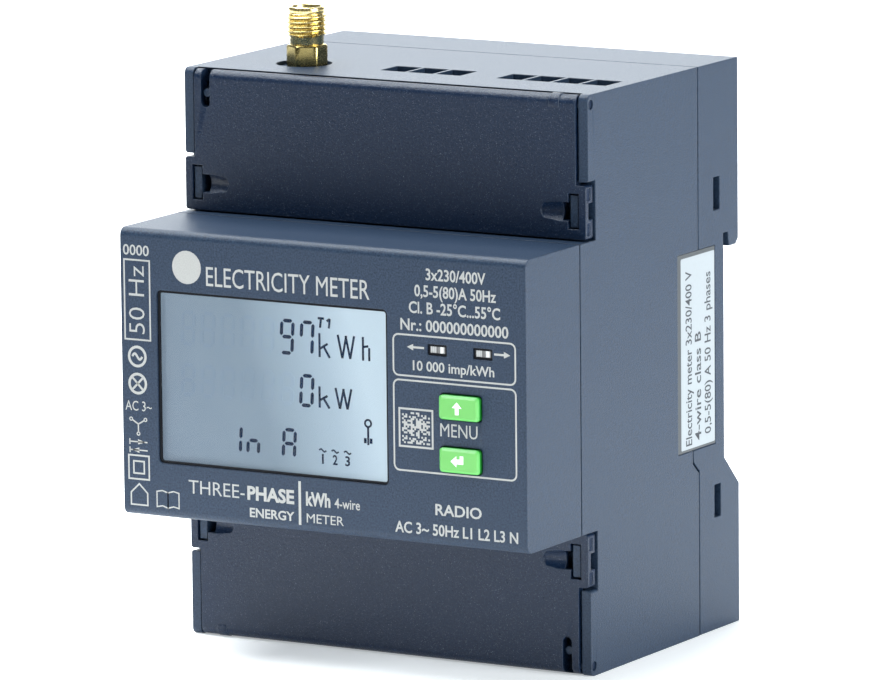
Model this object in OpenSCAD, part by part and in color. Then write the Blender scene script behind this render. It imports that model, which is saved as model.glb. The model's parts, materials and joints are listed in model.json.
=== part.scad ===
// Three-phase electronic energy meter for a 35 mm mounting rail, four modules wide.
// Frame: the origin is the middle of the face that seats on the rail, +Z is up and -Y is the front.
// Units are millimetres.

/* [Housing] */
// Width across the side walls
body_w = 71.8; // [71.4:0.1:72.0]
// Height of the shoulders
body_h = 90; // [90:0.1:90.5]
// Height of the nose that passes through a cabinet's front plate
nose_h = 45; // [44.8:0.1:45.2]
// Rail face to the front edge of the side walls
shoulder = 43.5; // [43.3:0.1:43.7]
// Rail face to the front of the nose
nose_front = 63; // [62.5:0.1:63.5]
// Depth of the hooks behind the rail face
hook_depth = 4.8; // [4.6:0.1:5.0]
// Thickness of the moulded walls
wall = 1.6; // [1.5:0.1:1.7]

/* [Joints between the mouldings] */
// Rail face to the seam between rear and main housing
rear_split = 8.4; // [8.2:0.1:8.6]
// Rail face to the seam between main housing and front cover
nose_split = 46.2; // [46:0.1:46.4]
// Width of the open seams
seam = 0.3; // [0.2:0.05:0.3]

/* [Terminal covers] */
// Thickness of a cover's plate
cover_t = 1.5; // [1.4:0.05:1.55]
// How far a cover stands proud of the side walls
cover_proud = 0.4; // [0.3:0.05:0.45]
// Radius of the hinge pins
pin_r = 0.7; // [0.65:0.05:0.7]
// Radius of the pin bores in the side walls
pin_bore_r = 0.76; // [0.75:0.01:0.8]

/* [Display and controls] */
// Width of the display opening
lcd_w = 41.2; // [41:0.1:41.4]
// Height of the display opening
lcd_h = 27.1; // [27:0.1:27.3]
// Width of a button
button_w = 7.0; // [6.9:0.1:7.1]
// Height of a button
button_h = 3.75; // [3.7:0.05:3.8]
// How far a button stands out of the front
button_proud = 0.95; // [0.9:0.05:1.0]

/* [Terminals] */
// Pitch of the seven main terminals
main_pitch = 9.6; // [9.5:0.1:9.6]
// Pitch of the small terminals
aux_pitch = 4.95; // [4.9:0.05:5.0]
// Radius of a main terminal screw's thread
screw_r = 2.3; // [2.2:0.1:2.4]

/* [Hidden] */
$fn = 48;
fine = 0.01;
half_w = body_w / 2;
half_h = body_h / 2;
half_nose = nose_h / 2;
inner_w = half_w - wall;
inner_h = half_h - wall;

// Rail recess: a 35 mm rail with 1 mm flanges
hook_z = 15.5;
hook_slot_z = 17.8;
hook_slot_y = 1.4;
hook_chamfer = 0.8;
lug_z = -17.9;
lug_rise = hook_depth;
lug_skin = 0.7;
seat_relief = 0.1;

// Tongue of the rear housing that reaches forward under the label
jog_reach = 1.8;
jog_low = -18.6;
jog_slope = -17;
jog_high = -10;

// Locating lips at the two seams
lip_gap = 0.15;
lip_t = 0.8;
lip_reach = 2.5;

// Snap tongues of the main housing and their windows in the rear housing
snap_z = 24.4;
snap_half = 2.3;
snap_gap = 0.3;
snap_t = 1.7;
snap_hook = 0.7;
snap_window_y0 = -3.4;
snap_window_y1 = -1.3;

// Hinge axes of the terminal covers
hinge_y = -42.5;
hinge_z = 43.45;
barrel_r = 1.4;
barrel_gap = 0.2;
cover_front = -shoulder - cover_proud;
cover_back = cover_front + cover_t;
cover_half = inner_w - 0.35;
cover_foot = half_nose + 0.3;
ear_top = 31.1;
ear_half = half_w - 0.2;
ear_depth = 0.6;
ear_corner = 0.45;
notch_top = ear_top + 0.5;
notch_y = cover_back + ear_depth + 0.6;

// Deck behind each cover
deck_front = -40.6;
deck_back = -39.2;

// Latch posts and the windows in the cover's ears
post_x = 33.55;
post_w = 1.3;
post_z0 = 24.6;
post_z1 = 29.55;
post_recess = 0.3;
window_x0 = 32.6;
window_x1 = 34.5;
window_z0 = 24.35;
window_z1 = 29.85;
groove_x = 27.85;
groove_z = 27.0;
groove_r = 1.45;
groove_shallow = 0.35;
groove_deep = 0.95;
groove_drop = 1.1;
scoop_r = 1.8;
socket_z = [24.36, 29.72];
socket_half = 0.98;
socket_depth = 0.25;
notch_z0 = 25.8;
notch_z1 = 28.4;
slot_x = 31.93;
slot_w = 1.65;
slot_z = 39.0;
guide_r = 0.65;
guide_z = 41.2;
guide_recess = 0.6;

// Display stack, front to back
nose_wall = 1.6;
lcd_x = -8.85;
lcd_z = -0.35;
window_recess = 0.4;
window_t = 0.9;
pocket_y = -nose_front + 0.8;
pocket_w = 44;
pocket_h = 31.6;
glass_w = 42.8;
glass_front = -61.6;
glass_step = -60.5;
glass_back = -59.4;
board_t = 1.6;
board_half_w = 33.2;
board_half_h = 19.9;
display_board_y = -52.2;
display_board_front = display_board_y - board_t;
meter_board_y = -40.8;
meter_board_front = meter_board_y - board_t;
board_screw_x = 30.9;
board_screw_z = 18.3;
board_screw_r = 0.85;
board_screw_head_r = 1.6;
boss_r = 1.7;
boss_web = 0.5;
touch = 0.05;

// Controls
button_x = 24.55;
up_z = -0.85;
enter_z = -8.97;
led_x = [20.45, 28.4];
led_z = 7.63;
led_w = 3.4;
led_h = 1.75;
led_gap = 0.3;
button_gap = 0.18;
seat = -nose_front + nose_wall;
switch_front = -56.7;

// Terminals
main_x = [for (i = [-3:3]) i * main_pitch];
aux_x = [for (x0 = [-4.45, 0.5, 5.45]) x0, for (i = [0:3]) 16.25 + i * aux_pitch];
main_screw_z = -33;
clamp_open_y = -31;
clamp_len = 14;
clamp_w = 8.3;
clamp_h = 10;
tab_y0 = -27;
tab_y1 = -25;
neck_half = 2;
wire_y = -21.75;
wire_w = 7.4;
wire_h = 7.6;
wire_r = 1.2;
chamber_half = 4.4;
driver_r = 2.85;
aux_y0 = -33.1;
aux_y1 = -27.7;
aux_w = 4.4;
release_half = 0.5;
release_z0 = 30;
release_z1 = 33.4;
probe_z = 37.2;
probe_r = 1.1;

// Antenna connector
ant_x = -20.85;
ant_y = -31.4;
ant_spot_r = 4.4;
ant_spot_x = -21.4;
ant_spot = 0.6;
ant_thread_r = 3.175;
ant_shank_r = 2.65;
ant_mouth_r = 2.8;
ant_tail_r = 1.7;
ant_bore_r = 2.3;
ant_contact_r = 0.64;
ant_hex_flats = 5.6;
ant_hex_corners = 6.4;
ant_hex_top = 48.1;
ant_thread_z0 = 49.4;
ant_thread_z1 = 53.5;
ant_top = 54.05;
ant_shank_z = 38.4;
ant_tail_z = 34.5;
ant_bore_z = 40;
ant_lead_r = 0.9;

// Side label
label_y0 = -15.2;
label_y1 = -2.9;
label_z0 = -15.2;
label_z1 = 16.3;
label_pocket = 0.2;
label_t = 0.15;
label_gap = 0.1;

// Rail latch
latch_half = 9.1;
latch_lip = 8.1;
latch_y0 = 1.75;
latch_y1 = 3.85;
latch_y2 = hook_depth - 0.1;
latch_z0 = -44.6;
latch_z1 = -19.2;
latch_gap = 0.2;
channel_y = 1.6;
spring_y = 2.8;
spring_z0 = -35;
spring_z1 = -27;

shell_colour = [0.20, 0.24, 0.32];
cover_colour = [0.15, 0.18, 0.25];
board_colour = [0.05, 0.32, 0.18];
brass_colour = [0.83, 0.66, 0.30];
copper_colour = [0.75, 0.45, 0.30];
steel_colour = [0.70, 0.71, 0.73];

// ---------- shared shapes ----------

// Box between two opposite corners
module block(a, b) {
  translate(a) cube(b - a);
}

// Outline drawn in Y and Z, extruded along X from x0 to x1
module along_x(x0, x1) {
  translate([x0, 0, 0]) rotate([90, 0, 90]) linear_extrude(x1 - x0) children();
}

// Outline drawn in X and Z, extruded along Y from the back face y1 to the front face y0
module along_y(y0, y1) {
  translate([0, y1, 0]) rotate([90, 0, 0]) linear_extrude(y1 - y0) children();
}

// Cylinder along X
module rod_x(x0, x1, y, z, r) {
  translate([x0, y, z]) rotate([0, 90, 0]) cylinder(h = x1 - x0, r = r);
}

// Cylinder along Y
module rod_y(y0, y1, x, z, r) {
  translate([x, y1, z]) rotate([90, 0, 0]) cylinder(h = y1 - y0, r = r);
}

// Rectangle with round corners, centred
module round_rect(w, h, r) {
  square([w, h - 2 * r], center = true);
  square([w - 2 * r, h], center = true);
  for (sx = [-1, 1], sy = [-1, 1])
    translate([sx * (w / 2 - r), sy * (h / 2 - r)]) circle(r = r, $fn = 32);
}

// The lower terminal cover and its details are the upper ones turned half round about Y
module turned() {
  rotate([0, 180, 0]) children();
}

module both_ends() {
  children();
  turned() children();
}

module both_sides() {
  for (side = [0, 1]) mirror([side, 0, 0]) children();
}

// Tube swept along a list of points, with flat ends, for the latch's coil spring
function ring(p, q, r, sides) =
  let (d = q - p, t = d / norm(d), a = cross(t, [0, 0, 1]), u = a / norm(a), v = cross(u, t))
  [for (k = [0:sides - 1]) let (f = 360 * k / sides) r * (cos(f) * u + sin(f) * v)];

module sweep(points, r, sides) {
  n = len(points);
  verts = [for (i = [0:n - 1])
    let (a = points[max(0, i - 1)], b = points[min(n - 1, i + 1)], s = ring(a, b, r, sides))
    for (k = [0:sides - 1]) points[i] + s[k]];
  skin = [for (i = [0:n - 2], k = [0:sides - 1])
    let (j = (k + 1) % sides)
    [i * sides + k, i * sides + j, (i + 1) * sides + j, (i + 1) * sides + k]];
  start = [[for (k = [0:sides - 1]) sides - 1 - k]];
  end = [[for (k = [0:sides - 1]) (n - 1) * sides + k]];
  polyhedron(verts, concat(skin, start, end));
}

// ---------- housing ----------

// Shallow pocket for the adhesive label on the right side
module label_recess() {
  block([half_w - label_pocket, label_y0, label_z0], [half_w + 1, label_y1, label_z1]);
}

// Tongue of the rear housing that reaches forward under the label; grow widens it for the seam
module jog_outline(grow) {
  polygon([
    [-rear_split + 1, jog_low - grow], [-rear_split - grow, jog_low - grow],
    [-rear_split - jog_reach - grow, jog_slope - grow], [-rear_split - jog_reach - grow, jog_high + grow],
    [-rear_split + 1, jog_high + grow]
  ]);
}

module rear_outline() {
  polygon([
    [-rear_split + seam / 2, -half_h], [hook_depth, -half_h], [hook_depth, lug_z - lug_rise],
    [0, lug_z], [0, hook_z], [-seat_relief, hook_z], [-seat_relief, hook_slot_z],
    [hook_slot_y, hook_slot_z], [hook_slot_y + 0.3, hook_z], [hook_depth - hook_chamfer, hook_z],
    [hook_depth, hook_z + hook_chamfer], [hook_depth, half_h], [-rear_split + seam / 2, half_h]
  ]);
}

module rear_cavity() {
  t = wall;
  polygon([
    [-rear_split - 1, -inner_h], [hook_depth - t, -inner_h], [hook_depth - t, lug_z - lug_rise - lug_skin],
    [-t, lug_z - lug_skin], [-t, hook_slot_z + t], [hook_depth - t, hook_slot_z + t],
    [hook_depth - t, inner_h], [-rear_split - 1, inner_h]
  ]);
}

// Rear tray with the rail hooks and the channel of the sliding latch
module rear_housing() {
  channel_half = latch_half + latch_gap;
  cheek_half = latch_half + 1.8;
  peg_half = 2.1;
  color(shell_colour)
  difference() {
    union() {
      difference() {
        along_x(-half_w, half_w) rear_outline();
        along_x(-inner_w, inner_w) rear_cavity();
      }
      block([-cheek_half, 0, -half_h], [cheek_half, hook_depth, lug_z - lug_rise]);
      along_x(-cheek_half, cheek_half)
        polygon([[-0.5, lug_z - lug_rise - 1], [hook_depth, lug_z - lug_rise - 1],
                 [hook_depth, lug_z - lug_rise], [0, lug_z], [-0.5, lug_z]]);
      along_x(inner_w, half_w) jog_outline(0);
    }
    // channel with lips that keep the latch in
    block([-channel_half, channel_y, -half_h - 1], [channel_half, latch_y1 + 0.15, lug_z + 0.1]);
    block([-latch_lip, channel_y, -half_h - 1], [latch_lip, hook_depth + 1, lug_z + 0.1]);
    // relief in the seat behind the latch's nose
    block([-latch_half, -seat_relief, lug_z - 1], [latch_half, 5, lug_z + 2.4]);
    block([-latch_lip, 1.2, lug_z - 4.7], [latch_lip, 5, lug_z]);
    // windows that show the snap tongues of the main housing
    both_sides() for (z = [-1, 1])
      block([inner_w - 1, snap_window_y0, z * snap_z - snap_half - snap_gap],
            [half_w + 1, snap_window_y1, z * snap_z + snap_half + snap_gap]);
    label_recess();
  }
  // peg that carries the latch's spring
  color(shell_colour)
    block([-peg_half, channel_y - 0.1, spring_z0 - 1.8], [peg_half, 3.6, spring_z0]);
}

module main_shell() {
  back = -rear_split - seam / 2;
  lip_w = inner_w - lip_gap - lip_t;
  lip_h = inner_h - lip_gap - lip_t;
  difference() {
    block([-half_w, -shoulder, -half_h], [half_w, back, half_h]);
    block([-inner_w, -shoulder - 1, -inner_h], [inner_w, 0, inner_h]);
  }
  // collar that carries the front cover, and its locating lip
  difference() {
    block([-half_w, -nose_split + seam / 2, -half_nose], [half_w, deck_back, half_nose]);
    block([-inner_w, -nose_split - 1, -half_nose + wall], [inner_w, deck_back + 1, half_nose - wall]);
  }
  difference() {
    block([-inner_w - fine, -nose_split - 1.5, -half_nose + wall - fine],
          [inner_w + fine, deck_back, half_nose - wall + fine]);
    block([-inner_w + lip_t, -nose_split - 2, -half_nose + wall + lip_t],
          [inner_w - lip_t, deck_back + 1, half_nose - wall - lip_t]);
    // the lip is thinner in front of the seam, so that the front cover slides over it
    difference() {
      block([-half_w, -nose_split - 2, -half_nose], [half_w, -nose_split + seam / 2, half_nose]);
      block([-inner_w + lip_gap, -nose_split - 3, -half_nose + wall + lip_gap],
            [inner_w - lip_gap, 0, half_nose - wall - lip_gap]);
    }
  }
  // decks behind the two terminal covers
  both_ends()
    block([-inner_w - fine, deck_front, half_nose - wall], [inner_w + fine, deck_back, inner_h + fine]);
  // locating lip at the rear seam
  difference() {
    block([-inner_w + lip_gap, back - lip_reach, -inner_h + lip_gap],
          [inner_w - lip_gap, back + 2, inner_h - lip_gap]);
    block([-lip_w, back - 3, -lip_h], [lip_w, back + 3, lip_h]);
  }
  difference() {
    block([-inner_w - fine, back - lip_reach, -inner_h - fine],
          [inner_w + fine, back - fine, inner_h + fine]);
    block([-lip_w, back - 3, -lip_h], [lip_w, back + 3, lip_h]);
  }
}

// Snap tongues that reach into the rear housing's windows
module snap_tongues() {
  tip = snap_window_y1 - 0.4;
  both_sides() for (z = [-1, 1]) {
    block([inner_w - snap_t, -rear_split - 2, z * snap_z - snap_half],
          [inner_w - lip_gap, tip, z * snap_z + snap_half]);
    block([inner_w - snap_t, snap_window_y0 + 0.3, z * snap_z - snap_half],
          [inner_w + snap_hook, tip, z * snap_z + snap_half]);
  }
}

// Posts that come up through the cover's latch windows, and the guide post in its slot
module cover_posts() {
  both_ends() {
    both_sides() block([post_x - post_w / 2, cover_front + post_recess, post_z0],
                       [post_x + post_w / 2, deck_back, post_z1]);
    rod_y(cover_front + guide_recess, deck_back, -slot_x, guide_z, guide_r);
  }
}

// Four bosses for a circuit board's corner screws, from y over depth, tied to the side walls at reach
module screw_bosses(y, depth, reach) {
  both_ends() both_sides() translate([0, 0, board_screw_z]) difference() {
    union() {
      rod_y(y, y + depth, board_screw_x, 0, boss_r);
      block([board_screw_x, y, -boss_web], [reach + fine, y + depth, boss_web]);
    }
    rod_y(y - 1, y + depth + 1, board_screw_x, 0, board_screw_r + touch);
  }
}

// Everything cut out for one terminal cover
module cover_clearance() {
  // open front above the deck, and the hollow round the hinge barrel
  block([-inner_w, -shoulder - 1, hinge_z - 2], [inner_w, hinge_y, half_h + 1]);
  rod_x(-inner_w, inner_w, hinge_y, hinge_z, barrel_r + barrel_gap);
  // pin bores
  rod_x(-half_w - 1, half_w + 1, hinge_y, hinge_z, pin_bore_r);
  // notches for the ears, with a round corner on the wall beyond them
  both_sides() {
    block([inner_w - fine, -shoulder - 1, half_nose], [half_w + 1, notch_y, notch_top]);
    difference() {
      block([half_w - ear_corner, -shoulder - 1, notch_top - 1],
            [half_w + 1, notch_y, notch_top + ear_corner]);
      rod_y(-shoulder - 2, notch_y + 1, half_w - ear_corner, notch_top + ear_corner, ear_corner);
    }
  }
  // round front corners of the side walls
  difference() {
    block([-half_w - 1, -shoulder - 1, half_h - 1], [half_w + 1, -shoulder + 1, half_h + 1]);
    rod_x(-half_w - 2, half_w + 2, -shoulder + 1, half_h - 1, 1);
  }
}

module main_housing() {
  color(shell_colour)
  difference() {
    union() {
      main_shell();
      snap_tongues();
    }
    both_ends() cover_clearance();
    // small wire openings in the top, with release slots in the upper deck
    for (x = aux_x) {
      block([x - aux_w / 2, aux_y0, inner_h - 1], [x + aux_w / 2, aux_y1, half_h + 1]);
      block([x - release_half, deck_front - 1, release_z0], [x + release_half, deck_back + 1, release_z1]);
      rod_y(deck_front - 1, deck_back + 1, x, probe_z, probe_r);
    }
    // main wire openings in the bottom, with screwdriver holes in the lower deck
    for (x = main_x) {
      translate([x, wire_y, -half_h - 1]) linear_extrude(wall + 2) round_rect(wire_w, wire_h, wire_r);
      rod_y(deck_front - 1, deck_back + 1, x, main_screw_z, driver_r);
    }
    // antenna connector
    translate([ant_x, ant_y, inner_h - 1]) cylinder(h = wall + 2, r = ant_shank_r + touch);
    translate([ant_spot_x, ant_y, half_h - ant_spot]) cylinder(h = ant_spot + 1, r = ant_spot_r);
    // seam round the rear housing's tongue, and the label
    along_x(inner_w - 0.2, half_w + 1) jog_outline(seam);
    label_recess();
  }
  color(shell_colour) {
    cover_posts();
    screw_bosses(meter_board_y + touch, 6, inner_w);
  }
}

// Nose: outline in Y and Z with round upper and lower front edges
module nose_outline(r) {
  back = -nose_split - seam / 2;
  translate([-nose_front + r, -half_nose]) square([nose_front - r + back, nose_h]);
  translate([-nose_front, -half_nose + r]) square([nose_front + back, nose_h - 2 * r]);
  for (s = [-1, 1]) translate([-nose_front + r, s * (half_nose - r)]) circle(r = r);
}

module front_cover() {
  edge = 1.3;
  lcd_corner = 0.8;
  hole_w = button_w + 2 * button_gap;
  hole_h = button_h + 2 * button_gap;
  color(shell_colour)
  difference() {
    along_x(-half_w, half_w) nose_outline(edge);
    block([-inner_w, seat, -half_nose + wall], [inner_w, 0, half_nose - wall]);
    translate([lcd_x, 0, lcd_z]) {
      along_y(-nose_front - 1, seat + 1) round_rect(lcd_w, lcd_h, lcd_corner);
      along_y(pocket_y, seat + 1) square([pocket_w, pocket_h], center = true);
    }
    for (x = led_x) translate([x, 0, led_z]) along_y(-nose_front - 1, seat + 1) round_rect(led_w, led_h, 0.2);
    for (z = [up_z, enter_z]) translate([button_x, 0, z])
      along_y(-nose_front - 1, seat + 1) round_rect(hole_w, hole_h, 0.7);
  }
  color(shell_colour) screw_bosses(seat - fine, display_board_front - touch - seat, inner_w);
}

// ---------- terminal covers ----------

// Scooped groove that leads a fingertip into the latch window: it deepens towards the window
module finger_groove() {
  tilt = atan((groove_deep - groove_shallow) / (window_x0 - groove_x));
  intersection() {
    along_y(cover_front - 1, cover_back + 1) {
      translate([groove_x + groove_r, groove_z]) circle(r = groove_r);
      translate([groove_x + groove_r, groove_z - groove_r])
        square([window_x0 + 0.5 - groove_x - groove_r, 2 * groove_r]);
    }
    translate([groove_x, cover_front + groove_shallow - scoop_r, groove_z]) rotate([0, 90, tilt])
      translate([0, 0, -1]) cylinder(h = 8, r = scoop_r);
  }
  block([window_x0 - groove_drop, cover_front - 1, groove_z - groove_r + touch],
        [window_x0 + 0.5, cover_back + 1, groove_z + groove_r - touch]);
}

// Two shallow sockets and a finger notch in the outer face of an ear
module ear_sockets() {
  for (z = socket_z)
    block([ear_half - socket_depth, cover_front + socket_depth, z - socket_half],
          [ear_half + 1, cover_back + touch, z + socket_half]);
  block([ear_half - 1, cover_back - 0.7, notch_z0], [ear_half + 1, 0, notch_z1]);
}

module terminal_cover() {
  rib = 1.1;
  rib_half = 28;
  rib_top = 40;
  web_x = [-21, -7, 7, 21];
  web = 0.5;
  band = 0.12;
  band_x0 = 29.4;
  band_x1 = 31.1;
  ear_wall = 0.6;
  hollow_x = 27.5;
  difference() {
    union() {
      block([-cover_half, cover_front, cover_foot], [cover_half, cover_back, hinge_z]);
      // ears that reach over the side walls
      translate([0, 0, (cover_foot + ear_top) / 2]) along_y(cover_front, cover_back + ear_depth)
        round_rect(2 * ear_half, ear_top - cover_foot, ear_corner);
      // hinge barrel with its raised band, and the pins
      rod_x(-cover_half, cover_half, hinge_y, hinge_z, barrel_r);
      rod_x(band_x0, band_x1, hinge_y, hinge_z, barrel_r + band);
      rod_x(-half_w + 0.25, half_w - 0.25, hinge_y, hinge_z, pin_r);
      // stiffening ribs on the inside
      block([-rib_half, cover_front, cover_foot], [rib_half, cover_back + rib, cover_foot + rib]);
      for (x = web_x)
        block([x - web, cover_front, cover_foot], [x + web, cover_back + ear_depth, rib_top]);
    }
    both_sides() {
      // the ears are hollow behind
      block([window_x0 - ear_wall, cover_back - fine, cover_foot + 0.9],
            [ear_half - ear_wall, 0, ear_top - 0.9]);
      block([hollow_x, cover_back, cover_foot + rib], [window_x0 - ear_wall, 0, ear_top + 1]);
      block([window_x0, cover_front - 1, window_z0], [window_x1, 0, window_z1]);
      ear_sockets();
      finger_groove();
    }
    // slot that frees the springy tongue of the left pin
    block([-slot_x - slot_w / 2, cover_front - 1, slot_z + slot_w / 2],
          [-slot_x + slot_w / 2, 0, half_h + 1]);
    rod_y(cover_front - 1, cover_back + 1, -slot_x, slot_z + slot_w / 2, slot_w / 2);
  }
}

module upper_terminal_cover() {
  color(cover_colour) terminal_cover();
}

module lower_terminal_cover() {
  color(cover_colour) turned() terminal_cover();
}

// ---------- rail latch ----------

module rail_latch() {
  rim_half = latch_lip - latch_gap;
  nose_top = -15.7;
  grip_z = [-25.4, -23.9, -22.4];
  color(cover_colour)
  difference() {
    union() {
      block([-latch_half, latch_y0, latch_z0], [latch_half, latch_y1, latch_z1]);
      block([-rim_half, latch_y0, latch_z0], [rim_half, latch_y2, latch_z1]);
      along_x(-rim_half, rim_half)
        polygon([[latch_y0 - 0.4, -17.6], [latch_y0 - 0.4, nose_top], [latch_y0 + 0.6, nose_top],
                 [latch_y2, latch_z1 + 0.8], [latch_y2, latch_z1 - 0.1], [latch_y0, latch_z1 - 0.1],
                 [latch_y0, -18]]);
    }
    // spring window
    block([-2.5, 0, spring_z0 - 2.2], [2.5, 9, spring_z1]);
    // screwdriver slot
    block([-3, 0, -43.4], [3, 9, -42]);
    // grip ridges
    for (z = grip_z) block([-6, hook_depth - 0.5, z], [6, 9, z + 0.6]);
  }
}

module rail_latch_spring() {
  turns = 7;
  steps = 16;
  wire = 0.22;
  coil_r = 0.88;
  rise = spring_z1 - spring_z0 - 2 * wire - 0.1;
  points = [for (i = [0:turns * steps])
    [coil_r * cos(360 * i / steps), spring_y + coil_r * sin(360 * i / steps),
     spring_z0 + wire + 0.05 + rise * i / (turns * steps)]];
  color(steel_colour) sweep(points, wire, 8);
}

// ---------- display ----------

module display_window() {
  front = -nose_front + window_recess;
  color([0.75, 0.82, 0.88, 0.4]) translate([lcd_x, 0, lcd_z]) {
    along_y(front, front + window_t) round_rect(lcd_w - 0.5, lcd_h - 0.5, 0.5);
    along_y(pocket_y + touch, front + window_t) round_rect(pocket_w - 0.4, pocket_h - 1.2, 0.8);
  }
}

// Front plate with a contact ledge above and below the smaller rear plate
module lcd_glass() {
  color([0.62, 0.70, 0.72]) translate([lcd_x, 0, lcd_z]) {
    along_y(glass_front, glass_step) square([glass_w, 30.8], center = true);
    along_y(glass_step, glass_back) square([glass_w, 27.6], center = true);
  }
}

module lcd_backlight() {
  color([0.92, 0.93, 0.92]) translate([lcd_x, 0, lcd_z])
    along_y(glass_back + touch, display_board_front - touch) square([glass_w - 0.4, 26.4], center = true);
}

// White frame that holds the glass, the backlight and the contact strips together
module lcd_frame() {
  color([0.90, 0.90, 0.88]) translate([lcd_x, 0, lcd_z]) difference() {
    along_y(seat + 0.1, display_board_front - touch) square([glass_w + 2, 32.2], center = true);
    along_y(seat - 1, 0) square([glass_w + 0.3, 31], center = true);
  }
}

// Conductive rubber strips that join the glass to the board
module zebra_strips() {
  color([0.75, 0.50, 0.55]) for (s = [-1, 1]) translate([lcd_x, 0, lcd_z + s * 14.55])
    along_y(glass_step + touch, display_board_front - touch) square([40, 1.2], center = true);
}

// Circuit board with its corner screw holes, rear face at y
module board(y) {
  difference() {
    block([-board_half_w, y - board_t, -board_half_h], [board_half_w, y, board_half_h]);
    for (x = [-1, 1], z = [-1, 1])
      rod_y(y - 3, y + 1, x * board_screw_x, z * board_screw_z, board_screw_r + 0.2);
  }
}

module display_board() {
  color(board_colour) board(display_board_y);
}

// ---------- buttons ----------

module button(z) {
  color([0.45, 0.92, 0.42]) translate([button_x, 0, z]) {
    along_y(-nose_front - button_proud, seat + 0.3) round_rect(button_w, button_h, 0.55);
    along_y(seat + 0.25, seat + 1.2) round_rect(button_w + 1.6, button_h + 1.2, 0.7);
    along_y(seat + 1.15, switch_front - 0.05) round_rect(2.6, 2.6, 0.4);
  }
}

module up_button() {
  button(up_z);
}

module enter_button() {
  button(enter_z);
}

module switch_plunger(z) {
  color([0.15, 0.15, 0.16]) rod_y(switch_front, switch_front + 1.1, button_x, z, 1.1);
}

module up_switch_plunger() {
  switch_plunger(up_z);
}

module enter_switch_plunger() {
  switch_plunger(enter_z);
}

module button_switches() {
  back = display_board_front - touch;
  color([0.55, 0.56, 0.58]) for (z = [up_z, enter_z]) difference() {
    block([button_x - 3, switch_front + 0.5, z - 2.6], [button_x + 3, back, z + 2.6]);
    rod_y(switch_front, switch_front + 2.2, button_x, z, 1.2);
  }
}

// ---------- pulse lamps ----------

module pulse_light_guides() {
  color([0.85, 0.87, 0.88, 0.5]) for (x = led_x) translate([x, 0, led_z]) {
    along_y(-nose_front + 0.35, seat + 0.3) square([led_w - led_gap, led_h - led_gap], center = true);
    along_y(seat + 0.1, seat + 1) square([led_w + 1, led_h + 1], center = true);
    along_y(seat + 0.9, -55.4) square([led_w - 2 * led_gap, led_h - led_gap], center = true);
  }
}

module pulse_leds() {
  back = display_board_front - touch;
  color([0.80, 0.15, 0.10]) for (x = led_x)
    block([x - 1.5, -55.2, led_z - 0.7], [x + 1.5, back, led_z + 0.7]);
}

// ---------- metering electronics ----------

module metering_board() {
  color(board_colour) board(meter_board_y);
}

module board_connector() {
  color([0.10, 0.10, 0.11])
    block([-10, display_board_y + touch, -18.6], [10, meter_board_front - touch, -14.6]);
}

// Cross-head screw: head from y towards the side that side points to, thread the other way
module board_screw(y, side) {
  head = 1.3;
  thread = 5;
  difference() {
    union() {
      rod_y(min(y, y + side * head), max(y, y + side * head), 0, 0, board_screw_head_r);
      rod_y(min(y, y - side * thread), max(y, y - side * thread), 0, 0, board_screw_r);
    }
    for (turn = [0, 90]) rotate([0, turn, 0])
      block([-1, y + side * head - 0.6, -0.2], [1, y + side * head + 0.6, 0.2]);
  }
}

// The display board is screwed to the front cover from behind, the metering board from the front
module board_screws() {
  color(steel_colour) for (x = [-1, 1], z = [-1, 1])
    translate([x * board_screw_x, 0, z * board_screw_z]) {
      board_screw(display_board_y + touch, 1);
      board_screw(meter_board_front - touch, -1);
    }
}

module supply_transformer() {
  y0 = meter_board_y + touch;
  color([0.85, 0.72, 0.25]) block([6, y0 + 1, 3], [20, y0 + 14, 16]);
  color([0.12, 0.12, 0.13]) {
    block([4.5, y0, 1.5], [21.5, y0 + 1.01, 17.5]);
    block([9, y0 + 13.9, 1.5], [17, y0 + 17, 17.5]);
  }
}

module filter_capacitors() {
  y0 = meter_board_y + touch;
  color([0.10, 0.12, 0.30]) {
    for (z = [0, 10.6]) rod_y(y0, y0 + 20, 27.8, z, 5);
    rod_y(y0, y0 + 12, -2, 14.5, 4);
  }
}

module varistors() {
  y0 = meter_board_y + touch;
  color([0.15, 0.30, 0.65]) for (x = [-28, -12, 8]) rod_y(y0, y0 + 3.6, x, -9.6, 3.6);
}

module metering_chips() {
  front = meter_board_front - touch;
  color([0.08, 0.08, 0.09]) {
    block([-6, front - 1.4, -6], [6, front, 6]);
    block([12, front - 1.4, -4], [20, front, 4]);
    block([-31, front - 1.4, -12], [-22, front, -5]);
  }
}

module backup_battery() {
  color([0.78, 0.79, 0.80]) rod_x(-33, -9, meter_board_y + 7.5, 1, 7.2);
}

module radio_module() {
  y0 = meter_board_y + touch;
  color([0.72, 0.73, 0.74]) {
    block([-28.8, y0, 8.5], [-10.5, y0 + 2.4, 19.4]);
    rod_y(y0 + 2.3, y0 + 3.4, ant_x, 14.5, 1.3);
  }
}

// ---------- antenna connector ----------

// Six-sided bar across flats, with one flat turned towards the right front
module hexagon(h, flats) {
  rotate([0, 0, 30]) cylinder(h = h, r = flats / 2 / cos(30), $fn = 6);
}

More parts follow.
